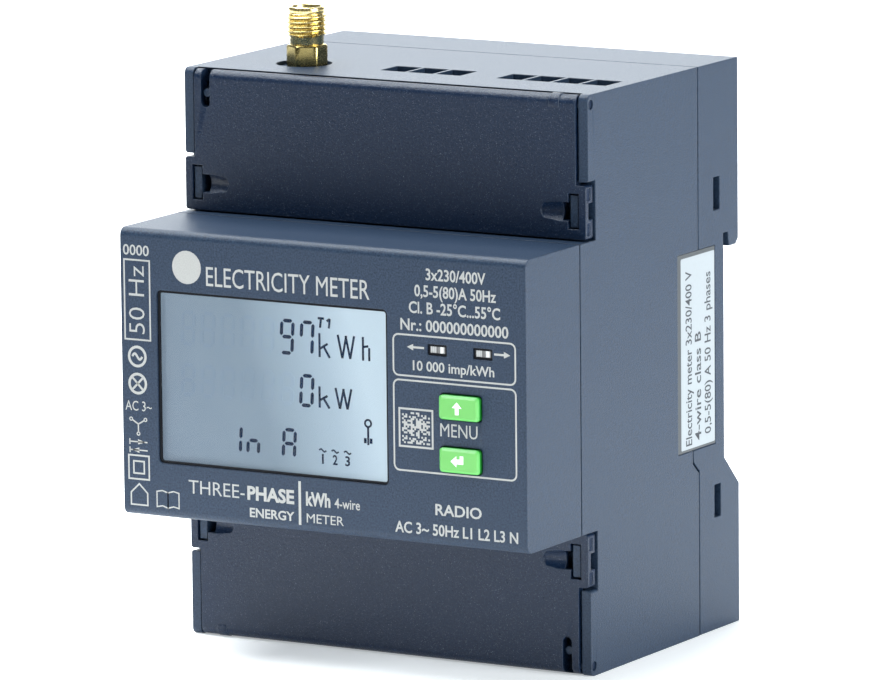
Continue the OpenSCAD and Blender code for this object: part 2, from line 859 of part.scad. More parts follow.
// Bulkhead jack with a 1/4-36 thread; the hexagon's corners are turned off
module antenna_connector() {
  floor_z = half_h - ant_spot;
  color(brass_colour) translate([ant_x, ant_y, 0]) difference() {
    union() {
      intersection() {
        translate([0, 0, floor_z + 0.02]) hexagon(ant_hex_top - floor_z, ant_hex_flats);
        cylinder(h = 60, r = ant_hex_corners / 2);
      }
      translate([0, 0, ant_hex_top - 0.1]) cylinder(h = 1.5, r = ant_shank_r);
      translate([0, 0, ant_thread_z0]) cylinder(h = ant_thread_z1 - ant_thread_z0, r = ant_thread_r);
      translate([0, 0, ant_thread_z1 - 0.1]) cylinder(h = ant_top - ant_thread_z1 + 0.1, r = ant_mouth_r);
      translate([0, 0, ant_shank_z]) cylinder(h = floor_z + 0.2 - ant_shank_z, r = ant_shank_r);
      translate([0, 0, ant_tail_z]) cylinder(h = ant_shank_z + 0.1 - ant_tail_z, r = ant_tail_r);
    }
    translate([0, 0, ant_bore_z]) cylinder(h = 20, r = ant_bore_r);
    translate([0, 0, ant_tail_z - 0.5]) cylinder(h = 10, r = ant_lead_r + touch);
  }
}

module antenna_insulator() {
  color([0.94, 0.94, 0.90]) translate([ant_x, ant_y, ant_bore_z + 0.02]) difference() {
    cylinder(h = 11.6, r = ant_bore_r - 0.02);
    translate([0, 0, -1]) cylinder(h = 20, r = ant_contact_r + 0.02);
  }
}

module antenna_contact() {
  color(brass_colour) translate([ant_x, ant_y, ant_bore_z + touch]) difference() {
    cylinder(h = 12.4, r = ant_contact_r);
    translate([0, 0, 9]) cylinder(h = 5, r = 0.42);
  }
}

module antenna_nut() {
  color(brass_colour) translate([ant_x, ant_y, inner_h - 2.25]) difference() {
    hexagon(2.2, 7.9);
    translate([0, 0, -1]) cylinder(h = 5, r = ant_shank_r + 0.03);
  }
}

// Thin coaxial lead from the connector down to the radio module
module antenna_lead() {
  r = ant_lead_r;
  bend = 4;
  end_z = 14.5;
  color([0.55, 0.36, 0.22]) {
    translate([ant_x, ant_y, end_z + bend]) cylinder(h = 39.5 - end_z - bend, r = r);
    translate([ant_x, ant_y - bend, end_z + bend]) rotate([90, 0, 90])
      rotate([0, 0, -90]) rotate_extrude(angle = 90) translate([bend, 0]) circle(r = r);
    rod_y(meter_board_y + 3.5, ant_y - bend, ant_x, end_z, r);
  }
}

// ---------- terminals ----------

module main_terminal_block() {
  front = deck_back + 0.1;
  back = -15.6;
  base = -inner_h + 0.1;
  top = -half_nose;
  barrier = main_pitch - 2 * chamber_half;
  color([0.16, 0.17, 0.19]) difference() {
    block([-33.95, front, base], [33.95, back, top]);
    for (x = main_x) {
      block([x - chamber_half, front - 1, base - 1], [x + chamber_half, back - 1, top - 1.5]);
      // way through for the contact bar
      block([x - 3.4, tab_y0 - 0.3, top - 2], [x + 3.4, tab_y1 + 0.3, top + 1]);
    }
  }
  // wire funnels at the mouth of each chamber
  color([0.16, 0.17, 0.19]) for (x = main_x) difference() {
    block([x - chamber_half - barrier / 2, wire_y - 5.2, base],
          [x + chamber_half + barrier / 2, back, base + 2.6]);
    translate([x, wire_y, base - 1]) linear_extrude(5) round_rect(wire_w, wire_h, wire_r);
  }
}

// Lift clamp in its open place, screwed forward to grip the wire
module main_clamp(i) {
  x = main_x[i];
  y1 = clamp_open_y + clamp_len;
  z0 = main_screw_z - clamp_h / 2;
  z1 = main_screw_z + clamp_h / 2;
  color(steel_colour) difference() {
    block([x - clamp_w / 2, clamp_open_y, z0], [x + clamp_w / 2, y1, z1]);
    block([x - clamp_w / 2 + 0.85, clamp_open_y + 2.5, z0 - 1], [x + clamp_w / 2 - 0.85, y1 - 1.5, z1 + 1]);
    rod_y(clamp_open_y - 1, clamp_open_y + 3, x, main_screw_z, screw_r + 0.07);
  }
}

module main_screw(i) {
  x = main_x[i];
  head = deck_back + 0.2;
  color(steel_colour) difference() {
    union() {
      rod_y(head, head + 2.2, x, main_screw_z, 3.1);
      rod_y(head + 2, tab_y0 - 0.06, x, main_screw_z, screw_r);
    }
    block([x - 3.2, head - 1, main_screw_z - 0.4], [x + 3.2, head + 1.1, main_screw_z + 0.4]);
    block([x - 0.4, head - 1, main_screw_z - 1.7], [x + 0.4, head + 1.4, main_screw_z + 1.7]);
  }
}

// Contact tab of one terminal, with a neck that rises to z1
module contact_leg(x, z1) {
  tab_half = 3.2;
  tab_top = -21;
  block([x - tab_half, tab_y0, -40.5], [x + tab_half, tab_y1, tab_top]);
  block([x - neck_half, tab_y0, tab_top - fine], [x + neck_half, tab_y1, z1]);
}

module phase_busbar(i) {
  x0 = main_x[2 * i];
  x1 = main_x[2 * i + 1];
  top = -3;
  color(copper_colour) {
    contact_leg(x0, top);
    contact_leg(x1, top);
    block([x0 - neck_half, tab_y0, top - 4], [x1 + neck_half, tab_y1, top]);
  }
}

module neutral_link() {
  color(copper_colour) {
    contact_leg(main_x[6], -10);
    block([main_x[6] - neck_half, meter_board_y + touch, -14], [main_x[6] + neck_half, tab_y1, -12]);
  }
}

module current_transformer(i) {
  color([0.13, 0.14, 0.16]) translate([main_x[2 * i + 1], (tab_y0 + tab_y1) / 2, -18.4]) difference() {
    cylinder(h = 9.4, r = 7.2);
    translate([0, 0, -1]) cylinder(h = 12, r = 2.9);
  }
}

module aux_terminal_block() {
  front = deck_back + 0.1;
  base = 24;
  top = inner_h - 0.1;
  color([0.16, 0.17, 0.19]) difference() {
    block([aux_x[0] - 3, front, base], [33.9, -24.4, top]);
    block([aux_x[2] + 3, front - 1, base - 1], [aux_x[3] - 3, -20, top + 1]);
    for (x = aux_x) {
      block([x - aux_w / 2, aux_y0, base + 4], [x + aux_w / 2, aux_y1, top + 1]);
      block([x - release_half, front - 1, release_z0], [x + release_half, aux_y0 + 1, release_z1]);
      rod_y(front - 1, aux_y0 + 1, x, probe_z, probe_r);
    }
  }
}

// Push-in springs: a bent leaf in each chamber
module aux_terminal_springs() {
  color(steel_colour) for (x = aux_x) along_x(x - 1.6, x + 1.6)
    polygon([[-32.95, 28.1], [-32.95, 36.6], [-32.5, 37.4], [-28.75, 32.6], [-29.1, 32.35],
             [-32.3, 36.3], [-32.5, 36], [-32.5, 28.5], [-29.4, 28.5], [-29.4, 28.1]]);
}

module aux_terminal_contacts() {
  color(copper_colour) for (x = aux_x)
    block([x - 1.7, aux_y1 - 0.75, 28.1], [x + 1.7, aux_y1 - 0.05, 37.5]);
}

// ---------- label ----------

// Film that bridges the seam between the two housings, nearly flush in its pocket
module side_label() {
  face = half_w - label_pocket + 0.01;
  color([0.86, 0.90, 0.92])
    block([face, label_y0 + label_gap, label_z0 + label_gap],
          [face + label_t, label_y1 - label_gap, label_z1 - label_gap]);
}

rear_housing();
main_housing();
front_cover();
upper_terminal_cover();
lower_terminal_cover();
rail_latch();
rail_latch_spring();
display_window();
lcd_glass();
lcd_backlight();
lcd_frame();
zebra_strips();
display_board();
up_button();
enter_button();
button_switches();
up_switch_plunger();
enter_switch_plunger();
pulse_light_guides();
pulse_leds();
metering_board();
board_connector();
board_screws();
supply_transformer();
filter_capacitors();
varistors();
metering_chips();
backup_battery();
radio_module();
antenna_connector();
antenna_insulator();
antenna_contact();
antenna_nut();
antenna_lead();
neutral_link();
main_terminal_block();
aux_terminal_block();
aux_terminal_springs();
aux_terminal_contacts();
side_label();
for (i = [0:2]) {
  phase_busbar(i);
  current_transformer(i);
}
for (i = [0:6]) {
  main_clamp(i);
  main_screw(i);
}
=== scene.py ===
"""Looks of a three-phase electricity meter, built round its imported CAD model.

Sizes are in millimetres and become metres where a mesh or a shader is made. The camera, the floor
and the lamps are in metres.
"""

import json
import math

import bmesh
import bpy
from mathutils import Matrix, Vector


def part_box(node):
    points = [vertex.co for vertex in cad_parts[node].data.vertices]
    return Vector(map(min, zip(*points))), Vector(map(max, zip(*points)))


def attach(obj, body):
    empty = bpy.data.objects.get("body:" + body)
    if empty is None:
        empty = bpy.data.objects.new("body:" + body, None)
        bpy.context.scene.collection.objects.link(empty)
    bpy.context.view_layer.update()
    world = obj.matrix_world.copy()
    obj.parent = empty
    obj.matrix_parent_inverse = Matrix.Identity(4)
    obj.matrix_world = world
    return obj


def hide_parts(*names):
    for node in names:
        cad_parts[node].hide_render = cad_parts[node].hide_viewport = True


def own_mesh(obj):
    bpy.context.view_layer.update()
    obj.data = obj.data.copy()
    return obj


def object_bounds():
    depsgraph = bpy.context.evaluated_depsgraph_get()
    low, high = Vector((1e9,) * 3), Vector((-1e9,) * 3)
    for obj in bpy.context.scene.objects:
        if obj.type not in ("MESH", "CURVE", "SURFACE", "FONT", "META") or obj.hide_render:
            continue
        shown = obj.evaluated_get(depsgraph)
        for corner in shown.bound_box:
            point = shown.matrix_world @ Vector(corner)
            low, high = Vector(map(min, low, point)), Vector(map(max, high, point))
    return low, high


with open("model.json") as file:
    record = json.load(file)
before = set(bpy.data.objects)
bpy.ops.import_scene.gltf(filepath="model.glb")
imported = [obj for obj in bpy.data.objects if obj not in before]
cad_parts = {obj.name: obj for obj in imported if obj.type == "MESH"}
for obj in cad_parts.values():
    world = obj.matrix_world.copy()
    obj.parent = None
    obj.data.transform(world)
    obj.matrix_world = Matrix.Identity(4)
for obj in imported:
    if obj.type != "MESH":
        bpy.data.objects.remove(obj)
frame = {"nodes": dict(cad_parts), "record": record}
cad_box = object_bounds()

MM = 0.001
CAD = frame["nodes"]
SLOTS = {row["node"]: row["material_slot"] for row in frame["record"]["subparts"]}


def low(node):
    """Lowest corner of a CAD node, in millimetres."""
    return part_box(node)[0] / MM


def high(node):
    """Highest corner of a CAD node, in millimetres."""
    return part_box(node)[1] / MM


# Places taken from the CAD model
FACE = low("front_cover").y
GLASS = low("lcd_glass").y
WINDOW_LOW, WINDOW_HIGH = low("display_window"), high("display_window")
WINDOW_MIDDLE = (WINDOW_LOW + WINDOW_HIGH) / 2
KEY_FACE = low("up_button").y
GUIDES_LOW, GUIDES_HIGH = low("pulse_light_guides"), high("pulse_light_guides")
LAMP_FLANGE = 1.3
LAMP_WIDTH = 3.1
LAMP_X = (GUIDES_LOW.x + (LAMP_FLANGE + LAMP_WIDTH) / 2,
          GUIDES_HIGH.x - (LAMP_FLANGE + LAMP_WIDTH) / 2)
LAMP_Z = (GUIDES_LOW.z + GUIDES_HIGH.z) / 2
JACK_LOW, JACK_HIGH = low("antenna_connector"), high("antenna_connector")
JACK_X = (JACK_LOW.x + JACK_HIGH.x) / 2
JACK_Y = (JACK_LOW.y + JACK_HIGH.y) / 2
JACK_END, JACK_TOP = JACK_LOW.z, JACK_HIGH.z
JACK_FOOT = 5.95  # from the jack's mouth down to the top of its six-sided foot

# Camera
CAMERA_PLACE = (0.63180, -1.11319, 0.21729)
CAMERA_AZIMUTH = 30.211
CAMERA_ELEVATION = 9.716
CAMERA_ROLL = -0.575
CAMERA_LENS = 337.0

# Light: each lamp's name, place, width and height in metres, and power in watts
COOL_WHITE = (0.93, 0.98, 1.0)
SKY = 0.19
LAMPS = (("back_light", (-0.75, 1.30, 0.55), (2.2, 0.9), 23),
         ("top_light", (-0.42, -0.03, 1.08), (1.1, 0.9), 35),
         ("side_light", (1.5, -0.15, 0.35), (1.0, 1.2), 39),
         ("low_light", (-0.04, -0.115, -0.043), (0.25, 0.01), 0.035))

# Print: how far it stands out of the face and reaches into it, its usual line and its usual weight
INK = 0.012
LINE = 0.27
BOLD = 0.018

# The mouldings whose edges are softened
MOULDINGS = ("front_cover", "main_housing", "rear_housing", "upper_terminal_cover", "lower_terminal_cover")
EDGE = 0.18

# Looks of the plain finishes, where they differ from the values simple() has of its own
FINISHES = {
    "white_plastic": dict(colour=(0.80, 0.80, 0.77), rough=0.45, vary=0.05),
    "black_plastic": dict(colour=(0.020, 0.021, 0.024), size=0.3, vary=0.25),
    "rubber": dict(colour=(0.42, 0.22, 0.26), rough=0.75),
    "circuit_board": dict(colour=(0.012, 0.110, 0.050), size=1.4, rough=0.35, vary=0.30),
    "epoxy": dict(colour=(0.05, 0.14, 0.42), rough=0.3),
    "capacitor_sleeve": dict(colour=(0.015, 0.022, 0.09), size=2.0, rough=0.3),
    "transformer_tape": dict(colour=(0.72, 0.50, 0.06), size=1.5, rough=0.35),
    "steel": dict(colour=(0.56, 0.57, 0.60), size=0.25, depth=0.006, rough=0.30, metal=1.0,
                  stretch=(1, 0.15, 1)),
    "tinned_copper": dict(colour=(0.74, 0.72, 0.68), size=0.4, rough=0.32, metal=1.0),
    "ptfe": dict(colour=(0.88, 0.88, 0.85), size=0.4, rough=0.6, vary=0.04),
    "lead_jacket": dict(colour=(0.22, 0.11, 0.05), size=0.3, rough=0.4),
    "label_film": dict(colour=(0.024, 0.030, 0.036), size=0.3, depth=0.002, rough=0.35),
}


# ---------- shader helpers ----------

def new_material(name):
    """A node material, its tree and its main shader."""
    material = bpy.data.materials.new(name)
    material.use_nodes = True
    tree = material.node_tree
    return material, tree, tree.nodes["Principled BSDF"]


def grain(tree, size, detail=2.0, rough=0.5, stretch=(1, 1, 1)):
    """Noise fixed to the object, with cells of size millimetres, shorter where stretch is over 1."""
    coordinates = tree.nodes.new("ShaderNodeTexCoord")
    mapping = tree.nodes.new("ShaderNodeMapping")
    mapping.inputs["Scale"].default_value = [s / (size * MM) for s in stretch]
    noise = tree.nodes.new("ShaderNodeTexNoise")
    noise.inputs["Scale"].default_value = 1.0
    noise.inputs["Detail"].default_value = detail
    noise.inputs["Roughness"].default_value = rough
    tree.links.new(coordinates.outputs["Object"], mapping.inputs["Vector"])
    tree.links.new(mapping.outputs["Vector"], noise.inputs["Vector"])
    return noise.outputs["Fac"]


def along(tree, axis):
    """The object's own coordinate on one axis, X, Y or Z, in metres."""
    coordinates = tree.nodes.new("ShaderNodeTexCoord")
    split = tree.nodes.new("ShaderNodeSeparateXYZ")
    tree.links.new(coordinates.outputs["Object"], split.inputs["Vector"])
    return split.outputs[axis]


def ramp(tree, source, stops):
    """Colour ramp over source; stops are (position, grey or colour)."""
    node = tree.nodes.new("ShaderNodeValToRGB")
    elements = node.color_ramp.elements
    while len(elements) < len(stops):
        elements.new(0.5)
    for element, (position, value) in zip(elements, stops):
        colour = value if isinstance(value, (tuple, list)) else (value, value, value)
        element.position = position
        element.color = (*colour[:3], 1)
    tree.links.new(source, node.inputs["Fac"])
    return node.outputs["Color"]


def blend_colours(tree, factor, first, second):
    """Mixes two colours or colour outputs by factor."""
    node = tree.nodes.new("ShaderNodeMix")
    node.data_type = "RGBA"
    # inputs 6 and 7 and output 2 are the node's colour sockets
    for socket, value in ((node.inputs[6], first), (node.inputs[7], second)):
        if isinstance(value, bpy.types.NodeSocket):
            tree.links.new(value, socket)
        else:
            socket.default_value = (*value[:3], 1)
    tree.links.new(factor, node.inputs[0])
    return node.outputs[2]


def relief(tree, shader, source, depth, edge=0.0):
    """Bumps the shader's surface by source, depth millimetres high, over edges rounded by edge."""
    node = tree.nodes.new("ShaderNodeBump")
    if edge:
        rounded = tree.nodes.new("ShaderNodeBevel")
        rounded.samples = 4
        rounded.inputs["Radius"].default_value = edge * MM
        tree.links.new(rounded.outputs["Normal"], node.inputs["Normal"])
    node.inputs["Strength"].default_value = 1.0
    node.inputs["Distance"].default_value = depth * MM
    tree.links.new(source, node.inputs["Height"])
    tree.links.new(node.outputs["Normal"], shader.inputs["Normal"])


def edge_highlight_mask(tree, radius):
    """Mask that is 1 on edges, within radius millimetres, and 0 on flat faces; it places a painted
    highlight on edges.
    """
    flat, sharp = 0.99, 0.82
    rounded = tree.nodes.new("ShaderNodeBevel")
    geometry = tree.nodes.new("ShaderNodeNewGeometry")
    agree = tree.nodes.new("ShaderNodeVectorMath")
    mask = tree.nodes.new("ShaderNodeMapRange")
    rounded.samples = 4
    rounded.inputs["Radius"].default_value = radius * MM
    agree.operation = "DOT_PRODUCT"
    mask.inputs["From Min"].default_value = flat
    mask.inputs["From Max"].default_value = sharp
    tree.links.new(rounded.outputs["Normal"], agree.inputs[0])
    tree.links.new(geometry.outputs["Normal"], agree.inputs[1])
    tree.links.new(agree.outputs["Value"], mask.inputs["Value"])
    return mask.outputs["Result"]


def shade(colour, factor):
    """A colour made darker or lighter."""
    return tuple(min(1.0, c * factor) for c in colour[:3])


def simple(name, colour, size=0.5, depth=0.004, rough=0.5, metal=0.0, vary=0.12, stretch=(1, 1, 1),
           shine=0.5):
    """Everyday finish: fine uneven colour, gloss and relief round one base colour."""
    material, tree, shader = new_material(name)
    noise = grain(tree, size, detail=4.0, stretch=stretch)
    stops = ((0.3, shade(colour, 1 - vary)), (0.7, shade(colour, 1 + vary)))
    tree.links.new(ramp(tree, noise, stops), shader.inputs["Base Color"])
    gloss = ((0.3, rough * 0.85), (0.7, rough * 1.15))
    tree.links.new(ramp(tree, noise, gloss), shader.inputs["Roughness"])
    shader.inputs["Metallic"].default_value = metal
    shader.inputs["Specular IOR Level"].default_value = shine
    relief(tree, shader, noise, depth)
    return material


# ---------- materials ----------

def housing_plastic():
    """Navy polycarbonate with a fine spark-eroded grain."""
    material, tree, shader = new_material("housing_plastic")
    fine = grain(tree, 0.30, detail=4.0, rough=0.7)
    speckle = ramp(tree, fine, ((0.32, (0.003, 0.011, 0.028)), (0.70, (0.029, 0.052, 0.095))))
    cloud = ramp(tree, grain(tree, 7.0), ((0.35, 0.0), (0.65, 0.35)))
    tint = blend_colours(tree, cloud, speckle, (0.016, 0.032, 0.061))
    tree.links.new(tint, shader.inputs["Base Color"])
    tree.links.new(ramp(tree, fine, ((0.3, 0.34), (0.7, 0.52))), shader.inputs["Roughness"])
    shader.inputs["Specular IOR Level"].default_value = 0.28
    relief(tree, shader, fine, 0.07, edge=0.25)
    return material


def cover_plastic():
    """The terminal covers' darker plastic: a coarse grain with bright specks on its tips, and a painted
    highlight that lightens its edges.
    """
    material, tree, shader = new_material("cover_plastic")
    coarse = grain(tree, 0.36, detail=3.0, rough=0.65)
    specks = grain(tree, 0.13, detail=1.0)
    ground = ramp(tree, coarse, ((0.35, (0.002, 0.009, 0.029)), (0.68, (0.006, 0.018, 0.046))))
    tips = ramp(tree, specks, ((0.66, 0.0), (0.80, 1.0)))
    tint = blend_colours(tree, tips, ground, (0.14, 0.17, 0.22))
    # painted highlight: the colour is lightened along edges
    edges = ramp(tree, edge_highlight_mask(tree, 0.12), ((0.0, 0.0), (1.0, 0.7)))
    tint = blend_colours(tree, edges, tint, (0.10, 0.13, 0.18))
    tree.links.new(tint, shader.inputs["Base Color"])
    tree.links.new(ramp(tree, coarse, ((0.3, 0.27), (0.7, 0.40))), shader.inputs["Roughness"])
    shader.inputs["Specular IOR Level"].default_value = 0.28
    relief(tree, shader, coarse, 0.10, edge=0.25)
    return material


def window_plastic():
    """Clear acrylic with weak reflections."""
    material, tree, shader = new_material("window")
    shader.inputs["Base Color"].default_value = (0.96, 0.98, 1.0, 1)
    shader.inputs["Transmission Weight"].default_value = 1.0
    shader.inputs["IOR"].default_value = 1.2
    haze = grain(tree, 6.0)
    tree.links.new(ramp(tree, haze, ((0.3, 0.0), (0.7, 0.03))), shader.inputs["Roughness"])
    return material


def display_light(name, tint=(1, 1, 1)):
    """Lit display glass, brighter towards its right edge and its top."""
    material, tree, shader = new_material(name)
    width = (WINDOW_HIGH.x - WINDOW_LOW.x) * MM
    rise, lift = 6.0, 0.13
    coordinates = tree.nodes.new("ShaderNodeTexCoord")
    spread = tree.nodes.new("ShaderNodeMapping")
    spread.inputs["Location"].default_value = (-WINDOW_LOW.x * MM / width, 0, lift)
    spread.inputs["Scale"].default_value = (1 / width, 1, rise)
    split = tree.nodes.new("ShaderNodeSeparateXYZ")
    across = tree.nodes.new("ShaderNodeMath")
    across.operation = "ADD"
    tree.links.new(coordinates.outputs["Object"], spread.inputs["Vector"])
    tree.links.new(spread.outputs["Vector"], split.inputs["Vector"])
    tree.links.new(split.outputs["X"], across.inputs[0])
    tree.links.new(split.outputs["Z"], across.inputs[1])
    stops = ((0.05, (0.155, 0.203, 0.264)), (0.55, (0.178, 0.240, 0.296)),
             (0.85, (0.390, 0.500, 0.585)), (1.0, (0.560, 0.690, 0.770)))
    tinted = [(place, [c * t for c, t in zip(colour, tint)]) for place, colour in stops]
    glow = ramp(tree, across.outputs["Value"], tinted)
    cloud = ramp(tree, grain(tree, 4.0), ((0.3, 0.0), (0.7, 0.03)))
    light = blend_colours(tree, cloud, glow, (0.55, 0.64, 0.70))
    shader.inputs["Base Color"].default_value = (0.06, 0.08, 0.10, 1)
    tree.links.new(light, shader.inputs["Emission Color"])
    shader.inputs["Emission Strength"].default_value = 0.9
    shader.inputs["Roughness"].default_value = 0.5
    shader.inputs["Specular IOR Level"].default_value = 0.2
    return material


def display_dark():
    """Switched-on segments: navy, without gloss."""
    material, tree, shader = new_material("lcd_dark")
    tint = ramp(tree, grain(tree, 3.0), ((0.3, (0.002, 0.008, 0.026)), (0.7, (0.004, 0.014, 0.040))))
    tree.links.new(tint, shader.inputs["Base Color"])
    tree.links.new(tint, shader.inputs["Emission Color"])
    shader.inputs["Emission Strength"].default_value = 0.6
    shader.inputs["Roughness"].default_value = 0.8
    shader.inputs["Specular IOR Level"].default_value = 0.0
    return material


def key_green_with_painted_light():
    """Green rubbery plastic with a faint painted glow, a painted highlight on the chamfer of its face and
    painted shade that turns it deep green down its sides.
    """
    material, tree, shader = new_material("button_green")
    depth = tree.nodes.new("ShaderNodeMapRange")
    depth.inputs["From Min"].default_value = KEY_FACE * MM
    depth.inputs["From Max"].default_value = FACE * MM
    tree.links.new(along(tree, "Y"), depth.inputs["Value"])
    # painted light: lighter on the chamfer at the face, then painted shade darkening the sides deep green
    # towards the housing
    sides = ramp(tree, depth.outputs["Result"], (
        (0.03, (0.122, 0.425, 0.090)), (0.20, (0.14, 0.48, 0.12)), (0.46, (0.06, 0.40, 0.06)),
        (0.56, (0.006, 0.22, 0.02)), (0.95, (0.003, 0.12, 0.012))))
    cloud = ramp(tree, grain(tree, 2.5, detail=1.0), ((0.3, 0.0), (0.7, 0.08)))
    tint = blend_colours(tree, cloud, sides, (0.10, 0.40, 0.080))
    tree.links.new(tint, shader.inputs["Base Color"])
    tree.links.new(tint, shader.inputs["Emission Color"])
    # faint painted glow
    shader.inputs["Emission Strength"].default_value = 0.04
    shader.inputs["Roughness"].default_value = 0.38
    relief(tree, shader, grain(tree, 0.3), 0.004)
    return material


def lamp_plastic():
    """Light guide painted to stand for clear plastic over a white bowl: painted reflections as pale ribs at
    the left, a painted highlight at the right.
    """
    material, tree, shader = new_material("light_guide")
    wrap = tree.nodes.new("ShaderNodeMath")
    share = tree.nodes.new("ShaderNodeMapRange")
    start = (LAMP_X[0] - LAMP_WIDTH / 2) * MM
    # lays the right lamp's places over the left one's
    wrap.operation = "WRAP"
    wrap.inputs[1].default_value = start + (LAMP_X[1] - LAMP_X[0]) * MM
    wrap.inputs[2].default_value = start
    share.inputs["From Min"].default_value = start
    share.inputs["From Max"].default_value = start + LAMP_WIDTH * MM
    tree.links.new(along(tree, "X"), wrap.inputs[0])
    tree.links.new(wrap.outputs["Value"], share.inputs["Value"])
    # painted reflections and a painted highlight across each guide, in place of seeing through it
    painted_reflections = ramp(tree, share.outputs["Result"], (
        (0.08, 0.30), (0.13, 0.50), (0.18, 0.28), (0.24, 0.46), (0.30, 0.30), (0.37, 0.42),
        (0.43, 0.08), (0.60, 0.14), (0.66, 0.85), (0.78, 0.75), (0.88, 0.05)))
    tree.links.new(painted_reflections, shader.inputs["Base Color"])
    shader.inputs["Roughness"].default_value = 0.12
    shader.inputs["Coat Weight"].default_value = 0.6
    relief(tree, shader, grain(tree, 0.8), 0.02)
    return material


def gold_tint(tree, marks):
    """Bright gold plating, uneven where marks are."""
    return ramp(tree, marks, ((0.3, (0.62, 0.48, 0.18)), (0.7, (0.92, 0.76, 0.38))))


def gold():
    """Gold plating over brass, with fine tool marks."""
    material, tree, shader = new_material("gold_brass")
    marks = grain(tree, 0.35, detail=4.0)
    tree.links.new(gold_tint(tree, marks), shader.inputs["Base Color"])
    tree.links.new(ramp(tree, marks, ((0.3, 0.154), (0.7, 0.308))), shader.inputs["Roughness"])
    shader.inputs["Metallic"].default_value = 1.0
    relief(tree, shader, marks, 0.004)
    return material


def jack_gold():
    """The jack's plating: bright on the thread, darker and brushed on the six-sided foot."""
    material, tree, shader = new_material("jack_gold")
    blur = 0.05
    height = tree.nodes.new("ShaderNodeMapRange")
    height.inputs["From Min"].default_value = (JACK_TOP - JACK_FOOT - blur) * MM
    height.inputs["From Max"].default_value = (JACK_TOP - JACK_FOOT + blur) * MM
    tree.links.new(along(tree, "Z"), height.inputs["Value"])
    marks = grain(tree, 0.3, detail=4.0, stretch=(1, 1, 0.3))
    brushed = grain(tree, 0.35, detail=4.0, stretch=(1, 1, 3))
    foot = ramp(tree, brushed, ((0.3, (0.26, 0.20, 0.07)), (0.7, (0.50, 0.41, 0.17))))
    tint = blend_colours(tree, height.outputs["Result"], foot, gold_tint(tree, marks))
    tree.links.new(tint, shader.inputs["Base Color"])
    tree.links.new(ramp(tree, brushed, ((0.3, 0.16), (0.7, 0.32))), shader.inputs["Roughness"])
    shader.inputs["Metallic"].default_value = 1.0
    relief(tree, shader, brushed, 0.005)
    return material


def ink():
    """Pale screen-print ink, slightly uneven."""
    return simple("print_ink", (0.375, 0.375, 0.365), size=0.15, depth=0.003, rough=0.55)


def make_materials():
    """One material for every slot of the record."""
    made = {
        "housing_plastic": housing_plastic(),
        "cover_plastic": cover_plastic(),
        "window": window_plastic(),
        "lcd": display_light("lcd"),
        "light_guide": lamp_plastic(),
        "button_green": key_green_with_painted_light(),
        "gold_brass": gold(),
    }
    for slot, look in FINISHES.items():
        made[slot] = simple(slot, **look)
    missing = set(SLOTS.values()) - set(made)
    assert not missing, missing
    return made


# ---------- mesh helpers ----------

def piece(name, mesh, body, material, smooth=False):
    """Puts a mesh into the scene as a piece that rides on a body."""
    mesh.materials.clear()
    mesh.materials.append(material)
    for polygon in mesh.polygons:
        polygon.use_smooth = smooth
    made = bpy.data.objects.new(name, mesh)
    bpy.context.scene.collection.objects.link(made)
    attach(made, body)
    return made


def smooth_piece(name, part, body, material, sharp):
    """A smooth piece whose edges stay sharp where its faces meet at more than sharp degrees."""
    made = piece(name, mesh_from(name, [part]), body, material, smooth=True)
    made.data.set_sharp_from_angle(angle=math.radians(sharp))
    return made


def mesh_from(name, parts):
    """One mesh from several (vertices in mm, faces) pairs."""
    vertices, faces = [], []
    for points, loops in parts:
        start = len(vertices)
        vertices += [Vector(p) * MM for p in points]
        faces += [[start + i for i in loop] for loop in loops]
    mesh = bpy.data.meshes.new(name)
    mesh.from_pydata(vertices, [], faces)
    tidy = bmesh.new()
    tidy.from_mesh(mesh)
    bmesh.ops.recalc_face_normals(tidy, faces=tidy.faces)
    tidy.to_mesh(mesh)
    tidy.free()
    return mesh


def weld(mesh, gap=0.0002):
    """Joins the points of a mesh that lie within gap millimetres."""
    joined = bmesh.new()
    joined.from_mesh(mesh)
    bmesh.ops.remove_doubles(joined, verts=joined.verts, dist=gap * MM)
    bmesh.ops.recalc_face_normals(joined, faces=joined.faces)
    joined.to_mesh(mesh)
    joined.free()
    return mesh


def loft(rows, closed=False):
    """Skin over equally long rings of points. If closed, the last ring joins the first;
    otherwise a flat face ends it on each side."""
    n, count = len(rows[0]), len(rows)
    last = (count - 1) * n
    faces = [] if closed else [list(range(n)), list(range(last + n - 1, last - 1, -1))]
    for i in range(count if closed else count - 1):
        j = (i + 1) % count
        for k in range(n):
            m = (k + 1) % n
            faces.append([i * n + k, i * n + m, j * n + m, j * n + k])
    return [point for row in rows for point in row], faces


def plate(outline, y0, y1):
    """Solid from an outline of (x, z) points, between the planes y0 and y1."""
    return loft([[(x, y, z) for x, z in outline] for y in (y0, y1)])


def strip(left, right, y0, y1, closed):
    """Solid between two equally long (x, z) paths, from y0 to y1."""
    n = len(left)
    points = [(x, y, z) for y in (y0, y1) for x, z in left + right]
    faces = []
    for i in range(n if closed else n - 1):
        j = (i + 1) % n
        faces += [[i, j, n + j, n + i], [2 * n + i, 3 * n + i, 3 * n + j, 2 * n + j],
                  [i, 2 * n + i, 2 * n + j, j], [n + i, n + j, 3 * n + j, 3 * n + i]]
    if not closed:
        faces += [[0, n, 3 * n, 2 * n], [n - 1, 3 * n - 1, 4 * n - 1, 2 * n - 1]]
    return points, faces


